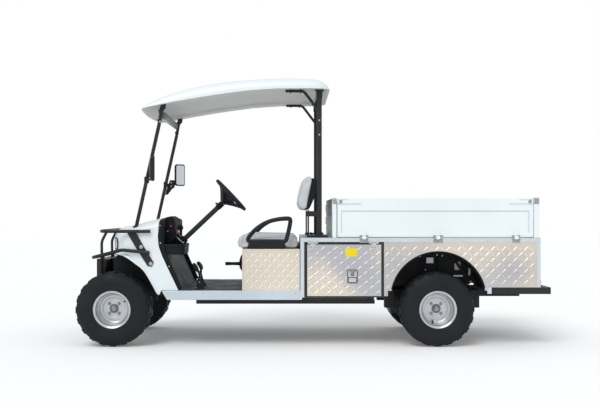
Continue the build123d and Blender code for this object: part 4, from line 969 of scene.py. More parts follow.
# The accelerator and the brake: place across the cart, half width, and the pad's lower and upper ends.
PEDALS = ((300, 30, (886, 543), (921, 612)), (200, 41, (862, 556), (899, 618)))
PAD_STEPS = 10
PAD_BOW = 7
PEDAL_PLATE = ((818, 909), (411.5, 416))
ARM_HALF = (5, 9)
pedals = bmesh.new()
for pedal_y, half, pad_low, pad_high in PEDALS:
    for plate_y in (pedal_y - 14, pedal_y + 11):
        add_prism(pedals, PEDAL_BASE, "Y", plate_y, plate_y + 3)
    add_box(pedals, PEDAL_PLATE[0], (pedal_y - 22, pedal_y + 22), PEDAL_PLATE[1])
    low = Vector(pad_low)
    high = Vector(pad_high)
    arm_end = low.lerp(high, 0.45)
    arm = ((868, pedal_y, 455), (876, pedal_y, 520), (arm_end.x - 6, pedal_y, arm_end.y - 8))
    section = [(a * ARM_HALF[0], b * ARM_HALF[1]) for a, b in ((-1, -1), (1, -1), (1, 1), (-1, 1))]
    add_sweep(pedals, arm, section, (1, 0, 0), 14)
    run = (high - low).normalized()
    out = Vector((-run.y, run.x))
    back = []
    front = []
    for step in range(PAD_STEPS + 1):
        share = step / PAD_STEPS
        bow = PAD_BOW * sin(pi * share)
        spot = low.lerp(high, share) + out * (bow - 3)
        edge = 1 - abs(2 * share - 1) ** 4
        back.append(spot - out * (3 + 14 * edge))
        front.append(spot + out * (2 + 5 * edge))
    add_prism(pedals, back + front[::-1], "Y", pedal_y - half, pedal_y + half, 1)
    for rib in range(5):
        share = 0.14 + 0.18 * rib
        spot = low.lerp(high, share) + out * (PAD_BOW * sin(pi * share) + 0.5)
        crest = spot + out * 3.5
        tread = (spot - run * 3.2, crest - run * 2, crest + run * 2, spot + run * 3.2)
        add_prism(pedals, tread, "Y", pedal_y - half + 5, pedal_y + half - 5, 1)
    for bolt_x in (832, 896):
        for bolt_y in (pedal_y - 18, pedal_y + 18):
            add_bolt(pedals, (bolt_x, bolt_y, PEDAL_PLATE[1][1]), "+z", 4.0, 2)
    add_lathe(pedals, ((-20, 5), (20, 5)), (874, pedal_y, 462), "Y", 16, finish_index=2)
sealed(pedals)
pedal_rubber = finish(
    "pedal_rubber", (0.010, 0.011, 0.014), rough=0.6, mottle=0.2, patch=0.05, grain=0.5, grain_size=0.001,
    dust=0.05, specular=0.25
)
finishes = [guard_black, pedal_rubber, steel_bright]
mount("pedal_assembly", pedals, finishes, "cart", ["pedals"], smooth=30, edge=1.2)

# ---------------------------------------------------------------- seat box
# The seat box is folded from aluminium tread plate, rolled with raised lens-shaped bars in crossing rows.
# Its sides and front face carry the bars up to a plain folded border; the battery pack stands inside.
PLATE_WARM = (0.76, 0.685, 0.585)
PLATE_COOL = (0.53, 0.53, 0.55)
# Painted highlight: the raised bars are the same aluminium as the plate, coloured lighter for the light
# their tops catch.
BAR_WARM_HIGHLIGHT = (0.93, 0.88, 0.79)
BAR_COOL_HIGHLIGHT = (0.62, 0.61, 0.62)
BAR_HALF = 3.9
BAR_RISE = 1.5
BAR_OUTLINE = ((-1, 0), (-0.5, -0.92), (0.5, -0.92), (1, 0), (0.5, 0.92), (-0.5, 0.92))
BOX_CELL = (67, 77)


def add_tread(shape, place, across, up, cell, keep):
    """Lays raised bars in crossing rows over a flat plate, wherever keep(u, v) says there is room."""
    across_way = Vector(across).normalized()
    up_way = Vector(up).normalized()
    out_way = across_way.cross(up_way)
    width, height = cell
    tilt = atan2(height, width)
    reach = hypot(width, height) * 0.228
    columns_wide = int(Vector(across).length / (width / 2)) + 1
    rows_high = int(Vector(up).length / (height / 2)) + 1
    for i in range(columns_wide):
        for j in range(rows_high):
            u = (i + 0.5) * width / 2
            v = (j + 0.5) * height / 2
            if not keep(u, v):
                continue
            turn = tilt if (i + j) % 2 else -tilt
            run = across_way * cos(turn) + up_way * sin(turn)
            side_way = out_way.cross(run)
            centre = Vector(place) + across_way * u + up_way * v
            rim = []
            for a, b in BAR_OUTLINE:
                foot = centre + run * (a * reach) + side_way * (b * BAR_HALF) - out_way * 0.25
                rim.append(shape.verts.new(foot))
            crest = centre + out_way * BAR_RISE
            ridge = [shape.verts.new(crest + run * (a * reach)) for a in (-0.55, 0.55)]
            faces = [
                (rim[1], rim[2], ridge[1], ridge[0]), (rim[4], rim[5], ridge[0], ridge[1]),
                (rim[0], rim[1], ridge[0]), (rim[5], rim[0], ridge[0]),
                (rim[2], rim[3], ridge[1]), (rim[3], rim[4], ridge[1]), tuple(rim[::-1]),
            ]
            for corners in faces:
                shape.faces.new(corners)


def plate_finish(name, cool, warm):
    """Rolled aluminium: metallic, its tone drifting from cool to warm in broad bands, with fine grain."""
    material = finish(
        name, cool, rough=0.40, mottle=0.06, patch=0.4, grain=0.25, grain_size=0.0012, metallic=0.78
    )
    tree = material.node_tree
    varied = next(node for node in tree.nodes if node.type == "GROUP")
    place = add_node(tree, "TexCoord")
    bands = add_node(tree, "TexNoise", {"Scale": 1.5, "Detail": 1.5})
    spread = add_node(tree, "MapRange", {"From Min": 0.42, "From Max": 0.58})
    tone = add_node(tree, "Mix", {"A": (*cool, 1.0), "B": (*warm, 1.0)}, data_type="RGBA")
    tree.links.new(place.outputs["Object"], bands.inputs["Vector"])
    tree.links.new(bands.outputs[0], spread.inputs["Value"])
    tree.links.new(spread.outputs["Result"], tone.inputs["Factor"])
    tree.links.new(tone.outputs["Result"], varied.inputs["Colour"])
    return material


plate_warm = plate_finish("plate_warm", PLATE_WARM, (0.80, 0.72, 0.61))
plate_cool = plate_finish("plate_cool", PLATE_COOL, PLATE_WARM)
# The bars' finishes are lighter copies of the plate's, a painted highlight.
bar_warm_highlight = plate_finish("bar_warm_highlight", BAR_WARM_HIGHLIGHT, BAR_WARM_HIGHLIGHT)
bar_bright = plate_finish("bar_bright", BAR_COOL_HIGHLIGHT, BAR_WARM_HIGHLIGHT)
dress(plate_warm, 1.5, "seat_box")
box_tread = bmesh.new()
for side, start_x in ((1, 507), (-1, 105)):
    add_tread(
        box_tread, (start_x, side * 600, 430), (-402 * side, 0, 0), (0, 0, 284), BOX_CELL,
        lambda u, v: u < 392 and v < 278
    )
add_tread(
    box_tread, (527, -574, 432), (0, 1148, 0), (0, 0, 284), BOX_CELL,
    lambda u, v: v < 276 and not (600 < u < 748 and 66 < v)
)
sealed(box_tread)
mount("seat_box_tread", box_tread, bar_warm_highlight, "cart", smooth=20)
dress(dash_plastic, 3.0, "battery_pack")

# ---------------------------------------------------------------- drive selector
# The drive selector is a domed plastic escutcheon screwed to the seat box, with a moulded lever that points
# forward and slides in a slot.
SELECTOR_CENTRE = (527, 100, 602.5)
SELECTOR_REACH = (59, 83)
DOME_STEPS = ((0, 1.0), (6, 1.0), (10, 0.98), (22, 0.90), (33, 0.76), (42, 0.56), (47, 0.34), (48.5, 0.12))
LEVER = (
    (38, 19), (44, 18), (52, 15.5), (70, 13), (110, 12.5), (140, 14), (152, 14.5), (160, 12.5), (164.5, 7),
    (165, 1),
)
LEVER_FIN = ((555, 540), (577, 556), (577, 634), (555, 648))
selector = bmesh.new()
rings = []
for depth, size in DOME_STEPS:
    ring = []
    for step in range(48):
        angle = 2 * pi * step / 48
        squared = 1 / max(abs(cos(angle)) ** 3 + abs(sin(angle)) ** 3, 1e-6) ** (1 / 3)
        y = SELECTOR_CENTRE[1] + SELECTOR_REACH[0] * size * squared * cos(angle)
        z = SELECTOR_CENTRE[2] + SELECTOR_REACH[1] * size * squared * sin(angle)
        ring.append(selector.verts.new((SELECTOR_CENTRE[0] + depth, y, z)))
    rings.append(ring)
join_rings(selector, rings, capped=True)
add_lathe(selector, LEVER, (527, 100, 595), "X", 32)
add_prism(selector, LEVER_FIN, "Y", 94, 97, 1)
for screw_y, screw_z in ((60, 545), (140, 545), (60, 660), (140, 660)):
    add_lathe(selector, ((0, 6), (26, 5.4), (27, 3.5)), (527, screw_y, screw_z), "X", 16, finish_index=1)
sealed(selector)
finishes = [dash_plastic, steel_bright]
mount("selector_lever", selector, finishes, "cart", ["drive_selector"], smooth=34)

# ---------------------------------------------------------------- seat cushion and back
# The bench is moulded foam under grained light grey vinyl, stapled to a black board. The back is the same
# vinyl, pulled over foam into a hollow moulded shell. Both are sewn with a piped seam round each end.
VINYL = (0.57, 0.595, 0.615)
COVER_PRESSURE = 2.5
COVER_FRAMES = 20
PIPING_STEPS = 90
PIPING_RADIUS = 2.6
CUSHION_CORE = (
    (130, 737), (545, 737), (563, 746), (573, 766), (574, 796), (565, 817), (545, 828), (490, 828),
    (330, 823), (170, 820), (128, 818), (108, 803), (99, 780), (101, 756), (112, 742),
)
BACK_CORE = (
    (52, 1024), (80, 1023), (101, 1038), (109, 1076), (97, 1150), (80, 1222), (61, 1264), (36, 1282),
    (10, 1280), (1, 1262), (8, 1220), (24, 1140), (38, 1070), (42, 1036),
)
BACK_SHELL = (
    (60, 1026.5), (64, 1029), (58, 1036), (45, 1043), (39, 1070), (25, 1140), (9, 1220), (5, 1252),
    (4, 1264), (-6, 1265), (-15, 1260), (-21, 1244), (-23, 1215), (-22, 1170), (-21, 1142), (-10, 1105),
    (10, 1058), (22, 1036), (32, 1027),
)


def vinyl_finish():
    """Vinyl with a pebbled grain and a soft sheen."""
    material = finish(
        "seat_vinyl", VINYL, rough=0.40, mottle=0.06, patch=0.25, grain=0.35, grain_size=0.0016, dust=0.06,
        specular=0.42
    )
    tree = material.node_tree
    varied = next(node for node in tree.nodes if node.type == "GROUP")
    place = add_node(tree, "TexCoord")
    pebbles = add_node(tree, "TexVoronoi", {"Scale": 520.0})
    relief = add_node(tree, "Bump", {"Strength": 0.30, "Distance": 0.0005})
    tree.links.new(place.outputs["Object"], pebbles.inputs["Vector"])
    tree.links.new(pebbles.outputs["Distance"], relief.inputs["Height"])
    tree.links.new(varied.outputs["Normal"], relief.inputs["Normal"])
    tree.links.new(relief.outputs["Normal"], tree.nodes["Principled BSDF"].inputs["Normal"])
    return material


def stuffed(name, profile, half, pinned, cap, replaced, voxel):
    """Sews a core to a cover: remeshed, blown up as cloth against its pinned side, then smoothed."""
    core = bmesh.new()
    middle = sum((Vector(point) for point in profile), Vector((0, 0))) / len(profile)
    rings = []
    for y, tuck in ((-half, 16), (-half + 5, 7), (-half + 16, 0), (half - 16, 0), (half - 5, 7), (half, 16)):
        ring = []
        for point in profile:
            spot = Vector(point)
            pull = middle - spot
            spot = spot + pull.normalized() * min(tuck, pull.length * 0.6)
            ring.append(core.verts.new((spot.x * 0.001, y * 0.001, spot.y * 0.001)))
        rings.append(ring)
    join_rings(core, rings, capped=True)
    sealed(core)
    mesh = bpy.data.meshes.new(name)
    core.to_mesh(mesh)
    core.free()
    piece = bpy.data.objects.new(name, mesh)
    bpy.context.collection.objects.link(piece)
    remesh = piece.modifiers.new("even_cloth", "REMESH")
    remesh.mode = "VOXEL"
    remesh.voxel_size = voxel * 0.001
    settle(piece)
    smooth_over(piece, 5)
    settle(piece)
    start = [vertex.co.copy() for vertex in piece.data.vertices]
    held = piece.vertex_groups.new(name="held")
    held.add([i for i, spot in enumerate(start) if pinned(spot * 1000)], 1.0, "REPLACE")
    blown = piece.modifiers.new("blown", "CLOTH")
    blown.settings.vertex_group_mass = "held"
    blown.settings.use_pressure = True
    blown.settings.uniform_pressure_force = COVER_PRESSURE
    blown.settings.effector_weights.gravity = 0.0
    blown.settings.quality = 4
    blown.settings.mass = 0.35
    blown.settings.tension_stiffness = 22
    blown.settings.compression_stiffness = 22
    blown.settings.bending_stiffness = 1.2
    blown.collision_settings.use_collision = False
    blown.point_cache.frame_start = 1
    blown.point_cache.frame_end = COVER_FRAMES
    for frame_number in range(1, COVER_FRAMES + 1):
        bpy.context.scene.frame_set(frame_number)
    posed = piece.evaluated_get(bpy.context.evaluated_depsgraph_get())
    moved = [vertex.co.copy() for vertex in posed.data.vertices]
    piece.modifiers.remove(blown)
    bpy.context.scene.frame_set(1)
    for vertex, before, after in zip(piece.data.vertices, start, moved):
        step = after - before
        far = min(step.length, cap * 0.001)
        vertex.co = before + (step.normalized() * far if step.length else step)
    piece.vertex_groups.clear()
    smooth_over(piece, 3)
    finer = piece.modifiers.new("finer", "SUBSURF")
    finer.levels = 1
    finer.render_levels = 1
    settle(piece)
    piece.data.shade_smooth()
    piece.data.materials.append(vinyl)
    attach(piece, "cart")
    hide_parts(replaced)
    return piece


def smooth_over(piece, rounds):
    """Evens out a piece's surface."""
    evened = piece.modifiers.new("evened", "SMOOTH")
    evened.iterations = rounds
    evened.factor = 0.5


def settle(piece):
    """Applies a piece's modifiers to its mesh."""
    done = bpy.data.meshes.new_from_object(piece.evaluated_get(bpy.context.evaluated_depsgraph_get()))
    piece.modifiers.clear()
    piece.data = done


def end_piping(shape, piece, y, centre):
    """A piped seam round one end of a pad, laid on its finished surface."""
    tree = BVHTree.FromObject(piece, bpy.context.evaluated_depsgraph_get())
    path = []
    for step in range(PIPING_STEPS):
        angle = 2 * pi * step / PIPING_STEPS
        way = Vector((cos(angle), 0, sin(angle)))
        hit = tree.ray_cast(Vector((centre[0], y, centre[1])) * 0.001 + way * 0.4, -way)[0]
        path.append(hit * 1000)
    path = [(path[i - 1] + path[i] * 2 + path[(i + 1) % PIPING_STEPS]) / 4 for i in range(PIPING_STEPS)]
    rings = []
    for i, spot in enumerate(path):
        run = (path[(i + 1) % PIPING_STEPS] - path[i - 1]).normalized()
        side_way = Vector((0, 1, 0))
        out_way = run.cross(side_way)
        section = [spot + side_way * a + out_way * b for a, b in circle(PIPING_RADIUS, 8)]
        rings.append([shape.verts.new(p) for p in section])
    join_rings(shape, rings, closed=True)


vinyl = vinyl_finish()
cushion = stuffed(
    "seat_cushion_cover", CUSHION_CORE, 508, lambda p: p.z < 744, 12, "seat_cushion", 9.5
)
back = stuffed(
    "seat_back_cover", BACK_CORE, 490, lambda p: p.x < 45 - (p.z - 1042) * 0.18, 8,
    "seat_back", 9
)
seams = bmesh.new()
for side in (1, -1):
    end_piping(seams, cushion, side * 486, (337, 790))
    end_piping(seams, back, side * 470, (52, 1150))
sealed(seams)
mount("seat_piping", seams, vinyl, "cart", smooth=60)
boards = bmesh.new()
add_box(boards, (142, 532), (-490, 490), (731.2, 744.5))
add_box(boards, (96, 112), (-560, 560), (731.2, 752))
mount("cushion_board", boards, dash_plastic, "cart", smooth=30, edge=3, segments=3)
shells = bmesh.new()
add_prism(shells, BACK_SHELL, "Y", -481, 481)
sealed(shells)
mount(
    "seat_back_moulding", shells, dash_plastic, "cart", ["seat_back_shell"], smooth=50,
    edge=9, segments=4
)

# ---------------------------------------------------------------- armrests
# Each armrest is a bent steel tube in black self-skinned foam, on a moulded foot screwed to the seat box's
# edge.
ARM_LOOP = (
    (340, 787), (260, 787), (212, 787), (200, 796), (190, 826), (177, 880), (168, 930), (168, 948),
    (180, 956), (215, 957), (270, 951), (330, 935), (390, 905), (440, 865), (480, 816), (484, 798),
    (474, 788), (430, 787), (340, 787),
)
ARM_FOOT = (
    (198, 731.5), (486, 731.5), (489, 745), (482, 770), (470, 781), (215, 781), (206, 765), (198, 745),
)
ARM_SECTION_SCALE = (1.05, 0.95)


def add_plate(shape, side, outline, depths, finish_index=0):
    """A plate on one side of the cart: an outline of (x, z) between two depths outward."""
    low, high = sorted((side * depths[0], side * depths[1]))
    add_prism(shape, outline, "Y", low, high, finish_index)


arms = bmesh.new()
for side in (1, -1):
    section = [(a * ARM_SECTION_SCALE[0], b * ARM_SECTION_SCALE[1]) for a, b in circle(15.2, 16)]
    add_sweep(arms, [(x, side * 562, z) for x, z in ARM_LOOP], section, (0, 1, 0), 90)
    add_plate(arms, side, ARM_FOOT, (548, 577))
    for bolt_x in (250, 430):
        add_bolt(arms, (bolt_x, side * 577, 755), OUTWARD[side], 4.5)
sealed(arms)
mount("armrest_tubes", arms, wheel_foam, "cart", ["armrests"], smooth=40, edge=2.5)

# ---------------------------------------------------------------- roof
# The roof is one white vacuum-formed crown with rounded shoulders and a thin rolled lip. A grey moulded
# lining closes it underneath, with a flat border and a raised channel down its middle.
ROOF_CROWN = (
    (-150, 1938), (-146, 1952), (-134, 1972), (-112, 1992), (-72, 2009), (0, 2020), (120, 2026.5),
    (350, 2022), (640, 2001), (860, 1966), (988, 1936), (1114, 1894), (1230, 1838), (1300, 1798),
    (1325, 1783),
)
ROOF_LIP_LINE = (
    (-150, 1938), (60, 1938), (265, 1937), (500, 1921), (768, 1884), (1040, 1838), (1325, 1781.5),
)
ROOF_SPINE = (170, 960)
ROOF_HALF = 550
REAR_CORNER = (-30, 430)
REAR_RADIUS = 120
ROOF_BOW = (
    (1215, 550), (1252, 545), (1280, 528), (1294, 500), (1303, 440), (1315, 290), (1323, 130), (1325, 0),
)
# Beyond this inset the outline is drawn straight toward the spine.
SHOULDER_INSET = 74
CROWN_LEVELS = (
    (0.5, 0.0), (0, 0.06), (0.5, 0.16), (4, 0.34), (11, 0.52), (22, 0.68), (38, 0.82), (58, 0.92),
    (74, 0.96), (110, 0.99), (160, 1), (240, 1), (340, 1), (440, 1), (542, 1),
)
LIP_LEVELS = ((3.5, 1.0), (4, 6), (1, 7))
LINING_LEVELS = (
    (3, 5.0), (5, 1.5), (9, 0.8), (40, 1.5), (78, 2.0), (140, 2.0), (150, 3.5), (162, 13), (172, 17),
    (240, 19), (340, 21), (440, 21), (540, 21),
)
LINING_HOLE = ((0.4, 7.5), (-1.2, 7.5), (-1.6, 5.5), (-1.4, 2))


def roof_loop(inset):
    """The roof's outline from above, drawn in by a distance: round rear corners and a bowed front."""
    points = []
    for step in range(13):
        angle = radians(180 - 90 * step / 12)
        corner_x = REAR_CORNER[0] + REAR_RADIUS * cos(angle)
        points.append(Vector((corner_x, REAR_CORNER[1] + REAR_RADIUS * sin(angle))))
    points += [Vector((x, ROOF_HALF)) for x in (60, 160, 270, 380, 490, 600, 710, 820, 930, 1040, 1140)]
    points += eased(ROOF_BOW, 22)
    half = []
    for p in points:
        bow = 26 * (p.y / ROOF_HALF) ** 2 if p.x < 60 else 0
        half.append((p.x + bow * (60 - p.x) / 210, p.y))
    loop = [Vector(p) for p in half] + [Vector((x, -y)) for x, y in half[-2::-1]]
    count = len(loop)
    moved = []
    for i, spot in enumerate(loop):
        run = (loop[(i + 1) % count] - loop[i - 1]).normalized()
        moved.append(spot + Vector((run.y, -run.x)) * min(inset, SHOULDER_INSET))
    if inset <= SHOULDER_INSET:
        return moved
    share = min((inset - SHOULDER_INSET) / (ROOF_HALF - SHOULDER_INSET), 0.985)
    result = []
    for spot in moved:
        goal = Vector((min(max(spot.x, ROOF_SPINE[0]), ROOF_SPINE[1]), 0))
        result.append(spot.lerp(goal, share))
    return result


def roof_skin(shape, levels, height_of):
    """Rings of the roof's outline, each drawn in by an inset and set at its own height."""
    rings = []
    for inset, level in levels:
        rings.append([shape.verts.new((p.x, p.y, height_of(p, level))) for p in roof_loop(inset)])
    return rings


def close_middle(shape, ring):
    """Closes the last ring with strips from side to side, which lie flatter than one long face would."""
    turn_at = len(ring) // 2
    for i in range(turn_at - 1):
        shape.faces.new((ring[i], ring[i + 1], ring[-2 - i], ring[-1 - i]))
    shape.faces.new((ring[turn_at - 1], ring[turn_at], ring[turn_at + 1]))


def crown_height(spot, level):
    """Between the lip line and the crown line, with a slight fall to the sides."""
    low = between(ROOF_LIP_LINE, spot.x)
    high = between(ROOF_CROWN, spot.x) + 3 - 3 * (spot.y / 500) ** 2
    return low + (max(high, low) - low) * level


def lining_height(spot, level):
    """Above the lip line by the given millimetres."""
    return between(ROOF_LIP_LINE, spot.x) + level


crown = bmesh.new()
outer = roof_skin(crown, CROWN_LEVELS, crown_height)
join_rings(crown, outer)
close_middle(crown, outer[-1])
inner = roof_skin(crown, LIP_LEVELS, lining_height)
join_rings(crown, [outer[0], inner[0], inner[1]])
sealed(crown)
mount("roof_crown", crown, body_white, "cart", ["roof"], smooth=40)
lining = bmesh.new()
under = roof_skin(lining, LINING_LEVELS, lining_height)
join_rings(lining, under)
close_middle(lining, under[-1])
for hole_x in (90, 165):
    for side in (1, -1):
        height = between(ROOF_LIP_LINE, hole_x) + 1.5
        add_lathe(lining, LINING_HOLE, (hole_x, side * 482, height), "Z", 20, finish_index=1)
sealed(lining)
lining_grey = finish(
    "lining_grey", (0.60, 0.61, 0.58), rough=0.6, mottle=0.06, patch=0.3, grain=0.5, grain_size=0.0014,
    dust=0.05
)
finishes = [lining_grey, trim_black]
mount("roof_lining_moulding", lining, finishes, "cart", ["roof_liner"], smooth=40)

# ---------------------------------------------------------------- posts
# The front posts are bent round tube joined by a folded beam. The rear posts are square tube on bolted
# feet, with round braces up to the roof and light zinc bolts where the crossbars and brackets fasten.
dress(guard_black, 1.0, "front_posts")
beam_black = finish(
    "beam_black", (0.008, 0.009, 0.012), rough=0.85, mottle=0.15, patch=0.15, grain=0.4, grain_size=0.0016,
    dust=0.03, specular=0.0
)
dress(beam_black, 1.0, "post_crossbars")
dress(guard_black, 1.6, "rear_posts")
# Bolts up a rear post, with their finish: the ones at the crossbars are bright.
POST_BOLTS = ((846, 0), (995, 0), (1190, 0), (1330, 0), (1470, 0), (1596, 1), (1706, 1), (1915, 0))
POST_FACE = 468.5
ROOF_CHEEK = ((-76, 1880), (-31, 1880), (-31, 1930), (-12, 1941), (-96, 1941), (-76, 1922))
POST_SLEEVE = ((-12, 13.4), (-10, 16), (10, 16), (12, 13.4))
BEAM_GUSSET = ((1106, 1838), (1112, 1790), (1160, 1742), (1164, 1776), (1150, 1812), (1140, 1831))
POST_FLANGE = ((1310, 884), (1312, 889), (1362, 877), (1360, 872))
BEAM_HOLE = ((0, 6), (-0.8, 6), (-1.0, 4.5), (-1, 1))
post_bits = bmesh.new()
for side in (1, -1):
    for bolt_z, bolt_finish in POST_BOLTS:
        add_bolt(post_bits, (-53, side * POST_FACE, bolt_z), OUTWARD[side], 4.6, bolt_finish)
    for bolt_x in (-104, -8, 18):
        for bolt_y in (472, 428):
            add_bolt(post_bits, (bolt_x, side * bolt_y, 832), "+z", 5.0, 1)
    for brace_x in (90, 165):
        add_bolt(post_bits, (brace_x, side * 450, 1919), "-z", 4.5)
    add_plate(post_bits, side, ROOF_CHEEK, (POST_FACE, POST_FACE + 3))
    add_plate(post_bits, side, ROOF_CHEEK, (428.5, 431.5))
    add_lathe(post_bits, POST_SLEEVE, (1158, side * 500, 1700), "Z", 24)
    add_bolt(post_bits, (1152, side * 516, 1690), OUTWARD[side], 4.6, 1)
    add_plate(post_bits, side, BEAM_GUSSET, (500, 504))
    add_plate(post_bits, side, POST_FLANGE, (476, 524))
for hole_y in (-330, -120, 120, 330):
    add_lathe(post_bits, BEAM_HOLE, (1144, hole_y, 1755), "X", 20, finish_index=1)
for fold_z in (1733.5, 1776.5):
    add_box(post_bits, (1144, 1172), (-498, 498), (fold_z - 1.5, fold_z + 1.5))
sealed(post_bits)
finishes = [guard_black, steel_bright]
mount("post_fittings", post_bits, finishes, "cart", smooth=30, edge=0.8, segments=1)

# ---------------------------------------------------------------- mirrors
# Each mirror is flat silvered glass pressed into a domed plastic housing, on a short arm clamped to a front
# post.
MIRROR_STEPS = (
    (-17, 0.90), (-17, 0.97), (-14, 1.0), (-4, 1.0), (5, 0.96), (12, 0.86), (16, 0.66), (17, 0.4),
    (17.2, 0.1),
)
MIRROR_LIP = ((-16, 0.90), (-14.5, 0.885))
MIRROR_CENTRE = (568, 1335)
MIRROR_HALF = (52, 95)
MIRROR_CORNER = 17
# Where each mirror stands along the cart, and how far it is turned about its arm.
MIRROR_SETS = ((1, 1206, 14), (-1, 1146, -42))
CLAMP = ((-24, 16.5), (-22, 19), (22, 19), (24, 16.5))
CLAMP_PLACE = (1255.5, 500, 1250)
BRACKET = ((1264, 1160), (1254, 1205), (1222, 1290), (1182, 1290), (1182, 1225), (1204, 1212), (1240, 1164))
mirror_shape = bmesh.new()
for side, mirror_x, yaw in MIRROR_SETS:
    turn = Matrix.Rotation(radians(yaw), 3, "Z")
    centre = Vector((mirror_x, side * MIRROR_CENTRE[0], MIRROR_CENTRE[1]))

    def mirror_ring(depth, size):
        """One ring of the housing: a rounded oblong facing rearward."""
        wide, tall = (half * size for half in MIRROR_HALF)
        loop = rounded_loop(-wide, wide, -tall, tall, [MIRROR_CORNER * size] * 4, 6)
        return [mirror_shape.verts.new(centre + turn @ Vector((depth, a, b))) for a, b in loop]

    housing = [mirror_ring(depth, size) for depth, size in MIRROR_STEPS]
    join_rings(mirror_shape, housing)
    mirror_shape.faces.new(housing[-1])
    join_rings(mirror_shape, [housing[0], *(mirror_ring(depth, size) for depth, size in MIRROR_LIP)])
    mirror_shape.faces.new(mirror_ring(-14.8, 0.89)).material_index = 1
    arm_end = centre + turn @ Vector((6, -side * 30, -85))
    arm = [(1252, side * 508, 1250), (1236, side * 528, 1252), (1216, side * 545, 1250), arm_end]
    add_sweep(mirror_shape, arm, circle(7), (0, 0, 1), 18)
    add_lathe(mirror_shape, CLAMP, (CLAMP_PLACE[0], side * CLAMP_PLACE[1], CLAMP_PLACE[2]), "Z", 24)
# Only the far mirror needs a bracket; the near one's arm is clamped straight to the post.
add_plate(mirror_shape, -1, BRACKET, (528, 532))
for bolt_z in (1237, 1269):
    add_bolt(mirror_shape, (1212, -528, bolt_z), "+y", 4.2, 2)
sealed(mirror_shape)
mirror_glass = finish(
    "mirror_glass", (0.80, 0.83, 0.85), rough=0.06, mottle=0.02, patch=0.3, grain=0.03, grain_size=0.01,
    dust=0.02, metallic=1.0
)
finishes = [trim_black, mirror_glass, steel_bright]
mount("mirror_heads", mirror_shape, finishes, "cart", ["mirrors"], smooth=40)

# ---------------------------------------------------------------- lockers
# The lockers are folded tread plate boxes under the deck. Each door is a plate with a rubber seal behind
# it, hung from two light hinges, and holds a blank label plate and a paddle latch with a key barrel.
DOOR_FACE = 618
DOOR_START = {1: (42, -551), -1: (-509, 551)}
DOOR_CELL = (91, 72)
LATCH_X = -294.5
# Label plate, latch surround, paddle, key plate, paddle lip, key slot and the two hinge straps: the x
# range, the depths off the door's face, the z range and the finish of each.
DOOR_SLABS = (
    ((-329, -243), (-0.5, 2.2), (676, 736), 1), ((-333, -256), (4.6, 6.2), (478, 579), 2),
    ((-326, -263), (5.5, 8.5), (524, 571), 3), ((-322, -267), (5.5, 7.4), (487, 517), 3),
    ((-318, -271), (8.2, 9.6), (559, 566), 2), ((-296, -293), (8.2, 9.4), (536, 550), 3),
    ((-472, -436), (-0.4, 2.2), (733, 770), 3), ((-21, 19), (-0.4, 2.2), (733, 770), 3),
)
KEY_BARREL = ((5.8, 14), (8.6, 13.6), (9.6, 12), (9.0, 10.4), (8.6, 3), (8.4, 1))
LATCH_RIVET = ((5.8, 2.6), (7.4, 2.2), (7.9, 0.9))
STRAP_RIVET = ((2.0, 3.4), (3.6, 2.8), (4.1, 1.2))
# Angles along the deck and the door's post, the seal round the door, the strip under the lockers, the strap
# behind the wheel and the angle down the tail, in the same order but with depths from the middle of the
# cart.
BODY_SLABS = (
    ((65, 92.4), (605.8, 608.4), (371, 783), 0), ((-1697.6, 92.4), (605.8, 608.4), (784, 813), 0),
    ((45, 60), (604.6, 608.6), (378, 778), 1), ((-528, -513), (604.6, 608.6), (378, 778), 1),
    ((-513, -494), (604.6, 608.6), (770, 778), 1), ((-415, -43), (604.6, 608.6), (770, 778), 1),
    ((41, 60), (604.6, 608.6), (770, 778), 1), ((-462, 60), (536, 539.6), (344.5, 371.5), 1),
    ((-1332, -1301), (605.8, 607.4), (398, 444.6), 0), ((-1697.8, -1672), (605.6, 607.2), (447, 783), 0),
)
EDGE_SCREW = ((2.2, 4.2), (3.6, 3.4), (4.2, 1.4))


def add_slabs(shape, side, slabs, face=0):
    """Boxes on one side of the cart, each with its x range, depths outward, z range and finish."""
    for x, (near, far), z, finish_index in slabs:
        add_box(shape, x, sorted((side * (face + near), side * (face + far))), z, finish_index)


bright_angle = finish(
    "bright_angle", (0.70, 0.76, 0.81), rough=0.30, mottle=0.08, patch=0.3, grain=0.12, grain_size=0.0012,
    metallic=0.9
)
seal_rubber = finish(
    "seal_rubber", (0.012, 0.013, 0.016), rough=0.6, mottle=0.15, patch=0.1, grain=0.3, grain_size=0.0015,
    dust=0.05
)
hinge_grey = finish(
    "hinge_grey", (0.60, 0.62, 0.63), rough=0.38, mottle=0.1, patch=0.1, grain=0.2, grain_size=0.0012,
    dust=0.02, metallic=0.5
)
label_yellow = finish(
    "label_yellow", (0.90, 0.70, 0.006), rough=0.42, mottle=0.05, patch=0.1, grain_size=0.0015, dust=0.02
)
latch_dark = finish(
    "latch_dark", (0.14, 0.125, 0.115), rough=0.38, patch=0.05, grain=0.3, grain_size=0.001, dust=0.05,
    metallic=0.6
)
dress(plate_cool, 1.2, "lockers", "locker_door_left", "locker_door_right")
dress(plate_cool, 1.2, "skirts", "rear_panel", "deck_plate")
dress(seal_rubber, 1.0, "door_seals")
dress(hinge_grey, 0.8, "door_hinges")
